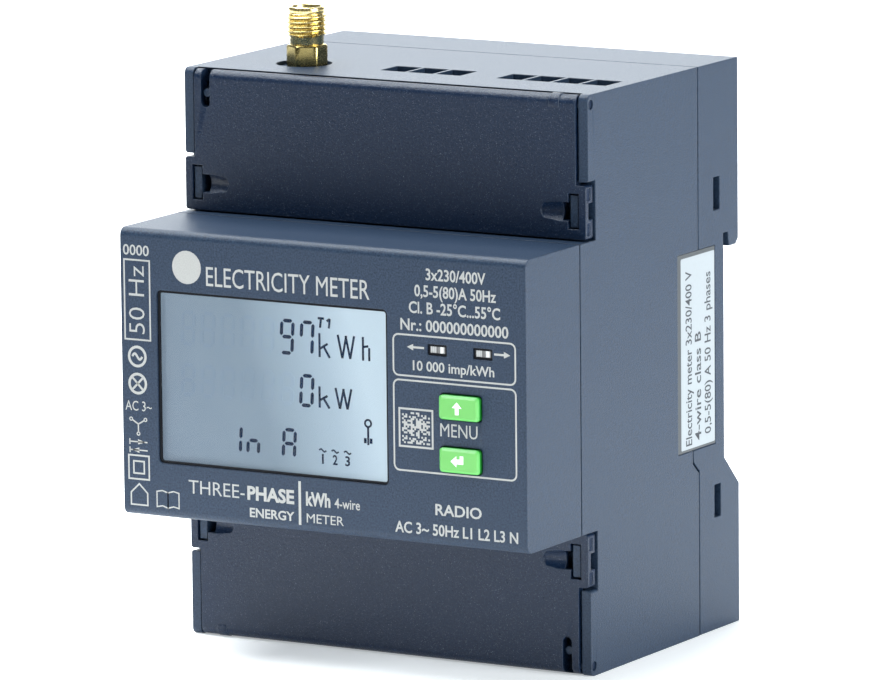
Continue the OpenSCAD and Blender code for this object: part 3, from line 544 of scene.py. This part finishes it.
def ribbon(path, width, y0, y1, closed=False):
    """Solid line of a width along (x, z) points, mitred at its corners."""
    n = len(path)
    left, right = [], []
    for i, (x, z) in enumerate(path):
        before = path[i - 1] if (i > 0 or closed) else path[i]
        after = path[(i + 1) % n] if (i < n - 1 or closed) else path[i]
        a = Vector((x - before[0], z - before[1]))
        b = Vector((after[0] - x, after[1] - z))
        a = a.normalized() if a.length else b.normalized()
        b = b.normalized() if b.length else a
        middle = (a + b).normalized()
        reach = width / 2 / max(0.35, middle.dot(a))
        side = Vector((-middle.y, middle.x)) * reach
        left.append((x + side.x, z + side.y))
        right.append((x - side.x, z - side.y))
    return strip(left, right, y0, y1, closed)


def arc(x, z, r, start, end, steps=8):
    """Points on an arc, angles in degrees from +x towards +z."""
    turns = [math.radians(start + (end - start) * i / steps) for i in range(steps + 1)]
    return [(x + r * math.cos(t), z + r * math.sin(t)) for t in turns]


def circle(x, z, r, sides):
    """Points of a closed circle."""
    return arc(x, z, r, 0, 360 - 360 / sides, sides - 1)


def round_box(x0, x1, z0, z1, r):
    """Outline of a rectangle with round corners."""
    corners = ((x1 - r, z1 - r, 0), (x0 + r, z1 - r, 90), (x0 + r, z0 + r, 180), (x1 - r, z0 + r, 270))
    return [point for x, z, start in corners for point in arc(x, z, r, start, start + 90, 5)]


def centred_box(x, z, width, height, r):
    """Outline of a rectangle with round corners, centred on (x, z)."""
    return round_box(x - width / 2, x + width / 2, z - height / 2, z + height / 2, r)


def wave(x, z, half, height, steps):
    """Points along one wave of the mains symbol, centred on (x, z)."""
    return [(x - half + 2 * half * i / steps, z + height * math.sin(2 * math.pi * i / steps))
            for i in range(steps + 1)]


def compass(degrees):
    """Unit vector at an angle from +x towards +z."""
    return Vector((math.cos(math.radians(degrees)), math.sin(math.radians(degrees))))


def text_shape(words, weight):
    """Points and faces of words in the built-in font, one unit thick."""
    curve = bpy.data.curves.new("letters", "FONT")
    curve.body = words
    curve.offset = weight
    curve.resolution_u = 3
    curve.extrude = 0.5
    text = bpy.data.objects.new("letters", curve)
    bpy.context.scene.collection.objects.link(text)
    bpy.context.view_layer.update()
    mesh = bpy.data.meshes.new_from_object(text.evaluated_get(bpy.context.evaluated_depsgraph_get()))
    bpy.data.objects.remove(text)
    points = [tuple(v.co) for v in mesh.vertices]
    faces = [list(p.vertices) for p in mesh.polygons]
    bpy.data.meshes.remove(mesh)
    return points, faces


def letters(words, x0, x1, base, cap, y0, y1, weight=0.0):
    """Words stretched from x0 to x1 on the line base, with capitals cap high."""
    height = max(p[1] for p in text_shape("H", weight)[0])
    points, faces = text_shape(words, weight)
    start = min(p[0] for p in points)
    stretch = (x1 - x0) / (max(p[0] for p in points) - start)
    placed = [(x0 + (p[0] - start) * stretch, y0 if p[2] > 0 else y1, base + p[1] * cap / height)
              for p in points]
    return placed, faces


def turned(part, x, z):
    """A flat part turned a quarter anticlockwise round the origin, then moved to (x, z)."""
    points, faces = part
    return [(x - p[2], p[1], z + p[0]) for p in points], faces


# ---------- front print ----------

def front_line(path, width=LINE, closed=False):
    """Printed line on the nose."""
    return ribbon(path, width, FACE - INK, FACE + INK, closed)


def front_plate(outline):
    """Printed field on the nose."""
    return plate(outline, FACE - INK, FACE + INK)


def front_words(words, x0, x1, base, cap, weight=0.0):
    """Printed words on the nose."""
    return letters(words, x0, x1, base, cap, FACE - INK, FACE + INK, weight)


def print_frames():
    """Two frames round the lamps and the keys, and the arrows beside the lamps."""
    lamp_frame = (12.8, 34.05, 3.35, 9.65)
    key_frame = (12.8, 34.1, -11.28, 2.65)
    corner = 0.9
    parts = [front_line(round_box(*sides, corner), closed=True) for sides in (lamp_frame, key_frame)]
    z, head, shaft, barb = 7.8, 1.1, 0.16, 0.5
    for tail, tip in ((18.2, 15.2), (30.4, 33.2)):
        neck = tip - math.copysign(head, tip - tail)
        parts.append(front_plate([(tail, z - shaft), (neck, z - shaft), (neck, z - barb), (tip, z),
                                  (neck, z + barb), (neck, z + shaft), (tail, z + shaft)]))
    return parts


def print_code():
    """A square of cells that carries no message: a framed pattern made by a rule."""
    left, foot, size, cells = 13.6, -7.7, 6.1, 20
    step = size / cells
    last = cells - 1
    parts = []
    for row in range(cells):
        for column in range(cells):
            rim = row in (0, last) or column in (0, last)
            moat = row in (1, last - 1) or column in (1, last - 1)
            field = (3 * row * row + 5 * column * column + 7 * row * column + row) % 11 < 6
            if rim or (field and not moat):
                x, z = left + column * step, foot + row * step
                parts.append(front_plate([(x, z), (x + step, z), (x + step, z + step), (x, z + step)]))
    return parts


def print_ratings():
    """Generic ratings and captions: words, left and right end, baseline, cap height, weight."""
    rows = (("3x230/400V", 18.6, 29.0, 18.3, 1.75, BOLD),
            ("0,5-5(80)A 50Hz", 16.6, 30.8, 15.7, 1.75, BOLD),
            ("Cl. B -25°C...55°C", 15.6, 31.5, 13.1, 1.75, BOLD),
            ("Nr.: 000000000000", 14.1, 32.9, 10.4, 1.75, BOLD),
            ("10 000 imp/kWh", 16.2, 30.4, 4.3, 1.5, 0.016),
            ("MENU", 20.9, 27.4, -5.5, 2.0, 0.0),
            ("RADIO", 19.9, 28.0, -17.7, 1.7, BOLD),
            ("AC 3~ 50Hz L1 L2 L3 N", 12.8, 34.3, -20.9, 1.7, BOLD))
    return [front_words(*row) for row in rows]


def print_name():
    """A plain disc and generic words above and under the display."""
    disc = front_plate(circle(-23.9, 17.1, 2.6, 24))
    bar = front_line([(-4.1, -21.4), (-4.1, -14.6)], 0.45)
    # words, left and right end, baseline, cap height, weight
    rows = (("ELECTRICITY METER", -20.4, 8.7, 14.5, 2.95, 0.0),
            ("THREE-", -24.1, -14.0, -18.2, 2.1, -0.004),
            ("PHASE", -13.5, -5.1, -18.2, 2.1, 0.035),
            ("kWh", -3.0, 1.35, -18.2, 2.1, 0.035),
            ("4-wire", 2.1, 6.6, -18.2, 1.5, 0.01),
            ("ENERGY", -13.1, -5.1, -20.9, 1.4, 0.022),
            ("METER", -2.9, 3.7, -20.9, 1.4, 0.0))
    return [disc, bar] + [front_words(*row) for row in rows]


def frequency_box(x):
    """Framed frequency that reads upwards."""
    left, right, foot, head = x - 2.15, x + 2.45, 5.15, 17.6
    frame_box = front_line([(left, foot), (right, foot), (right, head), (left, head)], 0.26, closed=True)
    words = front_words("50 Hz", 0, 10.6, -1.35, 2.8, -0.01)
    return [frame_box, turned(words, x + 0.1, foot + 0.95)]


def mains_symbols(x):
    """A wave in a circle, and a cross in a circle under it."""
    radius, wave_z, cross_z = 1.5, 2.5, -1.75
    parts = [front_line(circle(x, z, radius, 24), 0.42, closed=True) for z in (wave_z, cross_z)]
    parts.append(front_line(wave(x, wave_z, 0.9, 0.45, 12), 0.36))
    for turn in (45, 135):
        reach = compass(turn) * 0.9 * radius
        parts.append(front_line([(x - reach.x, cross_z - reach.y), (x + reach.x, cross_z + reach.y)], 0.34))
    return parts


def star_symbol(x, z):
    """Star connection: three arms that end in rings."""
    arm, ring, thin, thinnest = 1.25, 0.26, 0.22, 0.16
    centre = Vector((x, z))
    parts = []
    for turn in (150, 30, 270):
        end = centre + compass(turn) * arm
        eye = centre + compass(turn) * (arm + 0.25)
        parts.append(front_line([tuple(centre), tuple(end)], thin))
        parts.append(front_line(circle(eye.x, eye.y, ring, 8), thinnest, closed=True))
    return parts


def flow_symbol(x):
    """Two lines with an arrow and a bar on each, for the directions of flow."""
    half, thin, head, barb = 1.6, 0.2, 1.2, 0.42
    parts = []
    for z, way in ((-10.9, 1), (-12.2, -1)):
        neck = x - way * 0.1
        parts.append(front_line([(x - half, z), (x + half, z)], thin))
        parts.append(front_plate([(x + way * head, z), (neck, z + barb), (neck, z - barb)]))
        parts.append(front_line([(x - half, z - 0.45), (x - half, z + 0.45)], thin))
    return parts


def double_square(x, z):
    """Mark of double insulation."""
    corners = ((-1, -1), (1, -1), (1, 1), (-1, 1))
    return [front_line([(x + half * a, z + half * b) for a, b in corners], 0.26, closed=True)
            for half in (1.85, 0.95)]


def house_symbol(x):
    """House, for indoor use."""
    half, foot, eaves, ridge = 1.5, -20.8, -18.9, -17.5
    outline = [(x - half, foot), (x + half, foot), (x + half, eaves), (x, ridge), (x - half, eaves)]
    return [front_line(outline, 0.24, closed=True)]


def book_symbol(x):
    """Open book, for the manual."""
    pages = []
    for way in (-1, 1):
        bend, edge = x + way * 1.0, x + way * 2.0
        pages.append([(x, -20.9), (bend, -20.6), (edge, -20.8), (edge, -18.4), (bend, -18.2), (x, -18.5)])
    return [front_line(page, 0.2, closed=True) for page in pages]


def print_symbols():
    """The column of generic symbols beside the display."""
    x = -33.1
    words = [front_words("0000", -35.4, -30.7, 18.35, 1.6, 0.01),
             front_words("AC 3~", -35.4, -30.6, -6.0, 1.5, 0.0)]
    return (frequency_box(x) + words + mains_symbols(x) + star_symbol(x, -8.1) + flow_symbol(x)
            + double_square(x, -14.9) + house_symbol(x) + book_symbol(-27.9))


def make_print(paint):
    """The print on the nose, in five pieces."""
    for name, parts in (("frame_print", print_frames()), ("code_print", print_code()),
                        ("rating_print", print_ratings()), ("name_print", print_name()),
                        ("symbol_print", print_symbols())):
        piece(name, weld(mesh_from(name, parts)), "housing", paint)


# ---------- display ----------

LCD_FRONT = GLASS - 0.05
LCD_BACK = GLASS + 0.01
BAR = 0.56  # width of a segment's bar
BAR_GAP = 0.16
SLANT = 0.06

# The segments of each seven-segment character, a at the top and on clockwise, g in the middle
SEGMENTS = {
    "9": "abcdfg", "7": "abcf", "0": "abcdef", "n": "ceg", "A": "abcefg", "I": "fe", "8": "abcdefg",
}

# Strokes of the thin characters, in shares of their width and height
STROKES = {
    "k": [[(0, 0), (0, 1)], [(0.06, 0.36), (0.80, 0.58)], [(0.42, 0.44), (1, 0)]],
    "W": [[(0, 1), (0.27, 0.02)], [(0.27, 0.02), (0.52, 0.98)], [(0.48, 0.98), (0.75, 0.02)],
          [(0.75, 0.02), (1, 1)]],
    "h": [[(0, 0), (0, 1)], [(0.05, 0.58), (0.85, 0.62)], [(1, 0.55), (1, 0)]],
    "T": [[(0, 1), (1, 1)], [(0.5, 0.95), (0.35, 0)]],
    "1": [[(0.2, 0.75), (0.8, 1)], [(0.8, 1), (0.6, 0)]],
}

# The two readings: left edge of the last digit, baseline, digit height and number of unlit digits
ENERGY_ROW = (-4.35, 4.95, 5.0, 5)
POWER_ROW = (-4.45, -2.95, 4.6, 6)
DIGIT_WIDTH = 2.0
DIGIT_PITCH = 3.55
CAPTION_Z = -11.3


def lcd_line(path, width=0.3, closed=False):
    """Line of the display."""
    return ribbon(path, width, LCD_FRONT, LCD_BACK, closed)


def digit(mark, x, z, width, height):
    """Seven-segment character with its lower left corner at (x, z)."""
    half = height / 2
    spans = {
        "a": ((0, height), (width, height)), "g": ((0, half), (width, half)), "d": ((0, 0), (width, 0)),
        "f": ((0, half), (0, height)), "b": ((width, half), (width, height)),
        "e": ((0, 0), (0, half)), "c": ((width, 0), (width, half)),
    }
    parts = []
    for letter in SEGMENTS[mark]:
        first, second = (Vector(end) for end in spans[letter])
        way = (second - first).normalized()
        start, end = first + way * BAR_GAP, second - way * BAR_GAP
        tip, side = way * BAR / 2, Vector((-way.y, way.x)) * BAR / 2
        # a bar with pointed ends, slanted as a whole
        corners = (start, start + tip + side, end - tip + side, end, end - tip - side, start + tip - side)
        outline = [(x + c.x + SLANT * c.y, z + c.y) for c in corners]
        parts.append(plate(outline, LCD_FRONT, LCD_BACK))
    return parts


def thin_letter(mark, x, z, width, height):
    """Thin character drawn with straight strokes."""
    return [lcd_line([(x + a * width, z + b * height) for a, b in stroke], 0.36)
            for stroke in STROKES[mark]]


def phase_marks():
    """The phases' numbers, each under a wave: number, middle, half its width."""
    parts = []
    for number, x, half in (("1", -0.6, 0.16), ("2", 1.6, 0.42), ("3", 3.8, 0.42)):
        parts.append(letters(number, x - half, x + half, -11.75, 1.5, LCD_FRONT, LCD_BACK, 0.02))
        parts.append(lcd_line(wave(x, -9.7, 0.62, 0.2, 10), 0.24))
    return parts


def key_mark():
    """Key symbol: ring, shaft and bit."""
    x = 7.5
    parts = [lcd_line(circle(x, -4.85, 0.55, 16), closed=True), lcd_line([(x, -5.3), (x, -8.2)], 0.34)]
    for bit in (x - 0.52, x + 0.5):
        parts.append(lcd_line([(bit, -7.15), (bit, -7.95)], 0.46))
    return parts


def display_marks():
    """What the lit display shows: two readings, a caption, three phases and a key."""
    energy_x, energy_z, energy_height = ENERGY_ROW[:3]
    power_x, power_z, power_height = POWER_ROW[:3]
    parts = []
    for mark, x, z, width, height in (
            ("9", energy_x - DIGIT_PITCH, energy_z, DIGIT_WIDTH, energy_height),
            ("7", energy_x, energy_z, DIGIT_WIDTH, energy_height),
            ("0", power_x, power_z, DIGIT_WIDTH, power_height),
            ("I", -15.4, CAPTION_Z, 2.0, 4.2), ("n", -14.05, CAPTION_Z, 1.9, 4.2),
            ("A", -7.7, CAPTION_Z, 2.0, 4.3)):
        parts += digit(mark, x, z, width, height)
    for mark, x, z, width, height in (
            ("T", -1.2, 9.3, 1.1, 1.45), ("1", 0.2, 9.3, 0.9, 1.45),
            ("k", -0.95, 4.75, 1.8, 3.7), ("W", 2.3, 4.8, 2.9, 3.65), ("h", 6.75, 4.8, 1.1, 3.65),
            ("k", -1.05, -3.1, 1.75, 3.3), ("W", 1.8, -3.05, 2.8, 3.25)):
        parts += thin_letter(mark, x, z, width, height)
    return parts + phase_marks() + key_mark()


def unlit_marks():
    """Segments that are switched off but still faintly visible, left of the lit ones."""
    energy_x, energy_z, energy_height, energy_count = ENERGY_ROW
    rows = ((energy_x - DIGIT_PITCH, energy_z, energy_height, energy_count), POWER_ROW)
    return [bar for x, z, height, count in rows for i in range(count)
            for bar in digit("8", x - DIGIT_PITCH * (i + 1), z, DIGIT_WIDTH, height)]


def gap_shade_ring(x, z, size, radius, rim, front, above):
    """Round-cornered rectangular ring of painted shade that stands above the surface at front and reaches
    into it.
    """
    width, height = size
    sunk, least_radius = 0.3, 0.05
    outer = centred_box(x, z, width, height, radius)
    inner = centred_box(x, z, width - 2 * rim, height - 2 * rim, max(least_radius, radius - rim))
    return strip(outer, inner, front - above, front + sunk, closed=True)


def make_display():
    """Segments on the glass, and black rings of painted shade in the gaps round the display and the lamps.
    """
    marks = weld(mesh_from("display_segments", display_marks()))
    piece("display_segments", marks, "housing", display_dark())
    unlit = weld(mesh_from("unlit_segments", unlit_marks()))
    piece("unlit_segments", unlit, "housing", display_light("lcd_unlit", (0.93, 0.96, 1.02)))
    # painted shade: black rings fill the gaps round the display window and the lamps
    gap_shade = simple("gap_shade_black", (0.004, 0.005, 0.008), size=0.3, rough=0.35, vary=0.2, shine=0.12)
    gap_shade_rings = [gap_shade_ring(WINDOW_MIDDLE.x, WINDOW_MIDDLE.z, (41.18, 27.08), 0.79, 0.38, WINDOW_LOW.y, 0.12)]
    for x in LAMP_X:
        gap_shade_rings.append(gap_shade_ring(x, LAMP_Z, (3.38, 1.73), 0.30, 0.36, GUIDES_LOW.y, 0.1))
    piece("window_gap_shade", mesh_from("window_gap_shade", gap_shade_rings), "housing", gap_shade)


# ---------- keys ----------

def key_body(x, z):
    """One key: a chamfered cap, the flange that keeps it in, and the stem that works the switch."""
    width, height, chamfer, shoulder = 7.0, 3.75, 0.45, 0.4
    flange_width, flange_height, flange_depth = width + 1.6, height + 1.2, 0.95
    stem, flange_to_end = 2.6, 1.6
    back = high("up_button").y
    flange = back - flange_to_end
    # from front to back: depth, width, height and corner radius
    sections = ((KEY_FACE, width - 2 * chamfer, height - 2 * chamfer, 0.32),
                (KEY_FACE + shoulder, width, height, 0.55),
                (flange, width, height, 0.55),
                (flange, flange_width, flange_height, 0.7),
                (flange + flange_depth, flange_width, flange_height, 0.7),
                (flange + flange_depth, stem, stem, 0.4),
                (back, stem, stem, 0.4))
    return loft([[(px, y, pz) for px, pz in centred_box(x, z, w, h, r)] for y, w, h, r in sections])


def make_keys(green):
    """The two green keys and the white arrows printed on them."""
    paint = simple("key_arrow", (0.92, 0.95, 0.92), size=0.3, vary=0.05)
    up = [(-0.32, -1.0), (0.32, -1.0), (0.32, 0.05), (0.85, 0.05), (0, 0.95), (-0.85, 0.05), (-0.32, 0.05)]
    enter = [(-1.15, -0.05), (-0.15, -0.9), (-0.15, -0.42), (1.05, -0.42), (1.05, 0.85), (0.45, 0.85),
             (0.45, 0.32), (-0.15, 0.32), (-0.15, 0.8)]
    arrow_left = 0.2
    for name, outline in (("up", up), ("enter", enter)):
        node, body = name + "_button", name + "_key"
        middle = (low(node) + high(node)) / 2
        key = smooth_piece(name + "_cap", key_body(middle.x, middle.z), body, green, 25)
        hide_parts(node)
        placed = [(middle.x - arrow_left + a, middle.z + b) for a, b in outline]
        arrow = mesh_from(name + "_arrow", [plate(placed, KEY_FACE - INK, KEY_FACE + INK)])
        piece(name + "_arrow", arrow, body, paint)


# ---------- antenna jack ----------

def round_row(z, radius, steps):
    """Points round the jack's axis at the height z; radius is a length or a function of the angle."""
    angles = [2 * math.pi * k / steps for k in range(steps)]
    radii = [radius(a) if callable(radius) else radius for a in angles]
    return [(JACK_X + r * math.cos(a), JACK_Y + r * math.sin(a), z) for a, r in zip(angles, radii)]


def hexagon(limit):
    """Radius of the jack's six-sided foot as a function of the angle, with its corners cut to limit."""
    flats = 5.6

    def radius(angle):
        turn = (math.degrees(angle) - 30) % 60 - 30
        return min(flats / 2 / math.cos(math.radians(turn)), limit)
    return radius


def thread_rows(bottom, top, steps):
    """The helical thread from bottom to top; it fades out at both ends."""
    crest, root, pitch, fullness = 3.175, 2.74, 0.706, 1.25
    count, fade_in, fade_out = 100, 10, 5

    def radius_at(z, fade):
        def radius(angle):
            phase = (z / pitch - angle / (2 * math.pi)) % 1.0
            height = min(1.0, fullness * (1 - abs(2 * phase - 1)))
            return root + (crest - root) * height * fade
        return radius

    rows = []
    for i in range(count + 1):
        z = bottom + (top - bottom) * i / count
        rows.append(round_row(z, radius_at(z, min(1.0, i / fade_in, (count - i) / fade_out)), steps))
    return rows


def make_jack(paint):
    """Threaded jack with a six-sided foot, hollow down to its insulator."""
    steps = 72
    corner = 3.2
    shank, neck, collar = 2.65, 2.58, 2.80
    solder_end, bore, mouth, rim = 1.7, 0.95, 2.30, 2.36
    shank_end, socket_floor = 38.4, 40.0
    foot = high("main_housing").z - 0.58
    head = JACK_TOP - JACK_FOOT
    thread_low, thread_high = JACK_TOP - 4.65, JACK_TOP - 0.95
    # up the outside
    below = ((JACK_END, bore), (JACK_END, solder_end), (shank_end, solder_end), (shank_end, shank),
             (foot, shank), (foot, hexagon(corner - 0.12)), (foot + 0.15, hexagon(corner)),
             (head - 0.35, hexagon(corner)), (head - 0.12, hexagon(corner - 0.18)),
             (head, hexagon(corner - 0.5)), (head, neck), (head + 0.1, shank), (thread_low - 0.12, shank))
    # over the mouth and down the inside
    above = ((thread_high + 0.12, collar), (JACK_TOP - 0.14, collar), (JACK_TOP, 2.66), (JACK_TOP, rim),
             (JACK_TOP - 0.08, mouth), (socket_floor, mouth), (socket_floor, bore))
    rows = [round_row(z, radius, steps) for z, radius in below]
    rows += thread_rows(thread_low, thread_high, steps)
    rows += [round_row(z, radius, steps) for z, radius in above]
    jack = smooth_piece("antenna_jack", loft(rows, closed=True), "housing", paint, 62)
    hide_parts("antenna_connector")


# ---------- latch spring ----------

def make_spring(steel):
    """Coil spring of the rail latch, with closed end turns."""
    foot, head = low("rail_latch_spring"), high("rail_latch_spring")
    middle = (foot + head) / 2
    wire, turns, steps, sides, play = 0.21, 7.5, 28, 12, 0.01
    coil = (head.x - foot.x) / 2 - wire - play
    start, length = foot.z + wire, head.z - foot.z - 2 * wire
    count = int(turns * steps)
    # share of the spring in each closed end turn, and how much slower it rises there
    closed, closed_rise = 0.075, 0.75

    def rise(share):
        """Height along the spring: slow over the closed end turns, even between them."""
        ends = min(share, closed) + max(0.0, share - 1 + closed)
        even = (1 - 2 * closed * closed_rise) / (1 - 2 * closed)
        return length * (closed_rise * ends + (share - ends) * even)

    rows = []
    for i in range(count + 1):
        turn = 2 * math.pi * i / steps
        out = Vector((math.cos(turn), math.sin(turn), 0))
        centre = Vector((middle.x, middle.y, start + rise(i / count))) + out * coil
        angles = [2 * math.pi * k / sides for k in range(sides)]
        rows.append([centre + wire * (out * math.cos(a) + Vector((0, 0, math.sin(a)))) for a in angles])
    spring = smooth_piece("latch_spring", loft(rows), "housing", steel, 60)
    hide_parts("rail_latch_spring")
    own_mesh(spring)


# ---------- side label ----------

def make_label():
    """White field of the side label, and its three generic lines that read upwards."""
    film_low, film_high = low("side_label"), high("side_label")
    front_rim, back_rim, bottom_rim, top_rim = 1.0, 0.12, 0.38, 0.65
    # where the field and the words begin and end, measured outwards from the film's own face
    field_in, field_out, words_in, words_out = -0.002, 0.012, 0.011, 0.019
    # the field is drawn flat in x and z, then laid on the side wall
    outline = round_box(film_low.z + bottom_rim, film_high.z - top_rim,
                        film_low.y + front_rim, film_high.y - back_rim, 0.25)
    points, faces = plate(outline, film_high.x + field_in, film_high.x + field_out)
    field = mesh_from("label_field", [([(p[1], p[2], p[0]) for p in points], faces)])
    white = simple("label_white", (0.30, 0.332, 0.356), size=0.6, depth=0.002, rough=0.4, vary=0.03)
    piece("label_field", field, "housing", white)
    # words, where they start and end along z, and the y of their capitals' tops
    rows = (("Electricity meter 3x230/400 V", -14.2, 13.4, -12.6), ("4-wire class B", -13.8, 3.4, -9.6),
            ("0,5-5(80) A 50 Hz 3 phases", -13.2, 12.4, -6.4))
    cap = 1.95
    parts = []
    for words, start, end, top in rows:
        # turned upwards: their length runs along z, their height towards the front
        points, faces = letters(words, start, end, -top - cap, cap, film_high.x + words_out,
                                film_high.x + words_in, 0.010)
        parts.append(([(p[1], -p[2], p[0]) for p in points], faces))
    dark = simple("label_ink", (0.028, 0.033, 0.042), size=0.3, rough=0.6)
    piece("label_words", weld(mesh_from("label_words", parts)), "housing", dark)


# ---------- CAD nodes ----------

def soften(name):
    """Rounds the sharp edges of a CAD node."""
    node = CAD[name]
    joined = node.modifiers.new("join", "WELD")
    joined.merge_threshold = 0.001 * MM
    edges = node.modifiers.new("edges", "BEVEL")
    edges.width = EDGE * MM
    edges.segments = 2
    edges.limit_method = "ANGLE"
    edges.angle_limit = math.radians(35)
    edges.use_clamp_overlap = True
    normals = node.modifiers.new("normals", "WEIGHTED_NORMAL")
    normals.keep_sharp = False


def dress_cad(materials):
    """Gives every CAD node its slot's material, and soft edges where they show."""
    for name, node in CAD.items():
        node.data.materials.clear()
        node.data.materials.append(materials[SLOTS[name]])
    for name in MOULDINGS:
        soften(name)


# ---------- camera, floor and light ----------

def make_camera():
    """Camera at the photo's angle."""
    azimuth, elevation = math.radians(CAMERA_AZIMUTH), math.radians(CAMERA_ELEVATION)
    back = Vector((math.sin(azimuth) * math.cos(elevation),
                   -math.cos(azimuth) * math.cos(elevation), math.sin(elevation)))
    right = (-back).cross(Vector((0, 0, 1))).normalized()
    right = Matrix.Rotation(math.radians(CAMERA_ROLL), 3, back) @ right
    up = back.cross(right)
    turn = Matrix((right, up, back)).transposed().to_4x4()
    data = bpy.data.cameras.new("camera")
    data.lens = CAMERA_LENS
    data.clip_start = 0.01
    data.clip_end = 50
    camera = bpy.data.objects.new("camera", data)
    camera.matrix_world = Matrix.Translation(CAMERA_PLACE) @ turn
    bpy.context.scene.collection.objects.link(camera)
    bpy.context.scene.camera = camera


def make_floor():
    """White table that glows faintly round the meter."""
    half, level = 6.0, cad_box[0].z
    glow_near, glow_far, glow_strength = 0.08, 0.35, 0.37
    mesh = bpy.data.meshes.new("floor")
    corners = [(-half, -half, level), (half, -half, level), (half, half, level), (-half, half, level)]
    mesh.from_pydata(corners, [], [(0, 1, 2, 3)])
    material, tree, shader = new_material("floor")
    shader.inputs["Base Color"].default_value = (0.95, 0.95, 0.95, 1)
    shader.inputs["Roughness"].default_value = 0.9
    shader.inputs["Specular IOR Level"].default_value = 0.1
    coordinates = tree.nodes.new("ShaderNodeTexCoord")
    distance = tree.nodes.new("ShaderNodeVectorMath")
    glow = tree.nodes.new("ShaderNodeMapRange")
    distance.operation = "LENGTH"
    glow.inputs["From Min"].default_value = glow_near
    glow.inputs["From Max"].default_value = glow_far
    glow.inputs["To Min"].default_value = glow_strength
    glow.inputs["To Max"].default_value = 0.0
    tree.links.new(coordinates.outputs["Object"], distance.inputs[0])
    tree.links.new(distance.outputs["Value"], glow.inputs["Value"])
    tree.links.new(glow.outputs["Result"], shader.inputs["Emission Strength"])
    shader.inputs["Emission Color"].default_value = (*COOL_WHITE, 1)
    mesh.materials.append(material)
    floor = bpy.data.objects.new("floor", mesh)
    bpy.context.scene.collection.objects.link(floor)


def soft_box(name, place, size, power):
    """Rectangular lamp at place that looks at the meter."""
    data = bpy.data.lights.new(name, "AREA")
    data.shape = "RECTANGLE"
    data.size, data.size_y = size
    data.energy = power
    data.color = COOL_WHITE
    lamp = bpy.data.objects.new(name, data)
    lamp.visible_camera = False
    turn = (-Vector(place)).to_track_quat("-Z", "Y").to_matrix().to_4x4()
    lamp.matrix_world = Matrix.Translation(place) @ turn
    bpy.context.scene.collection.objects.link(lamp)


def make_light():
    """Even sky light and the soft boxes."""
    world = bpy.data.worlds.new("studio")
    world.use_nodes = True
    background = world.node_tree.nodes["Background"]
    background.inputs["Color"].default_value = (*COOL_WHITE, 1)
    background.inputs["Strength"].default_value = SKY
    bpy.context.scene.world = world
    for lamp in LAMPS:
        soft_box(*lamp)


make_camera()
make_floor()
make_light()
materials = make_materials()
dress_cad(materials)
make_print(ink())
make_display()
make_keys(materials["button_green"])
make_jack(jack_gold())
make_spring(materials["steel"])
make_label()
bpy.context.scene.view_settings.view_transform = "Standard"
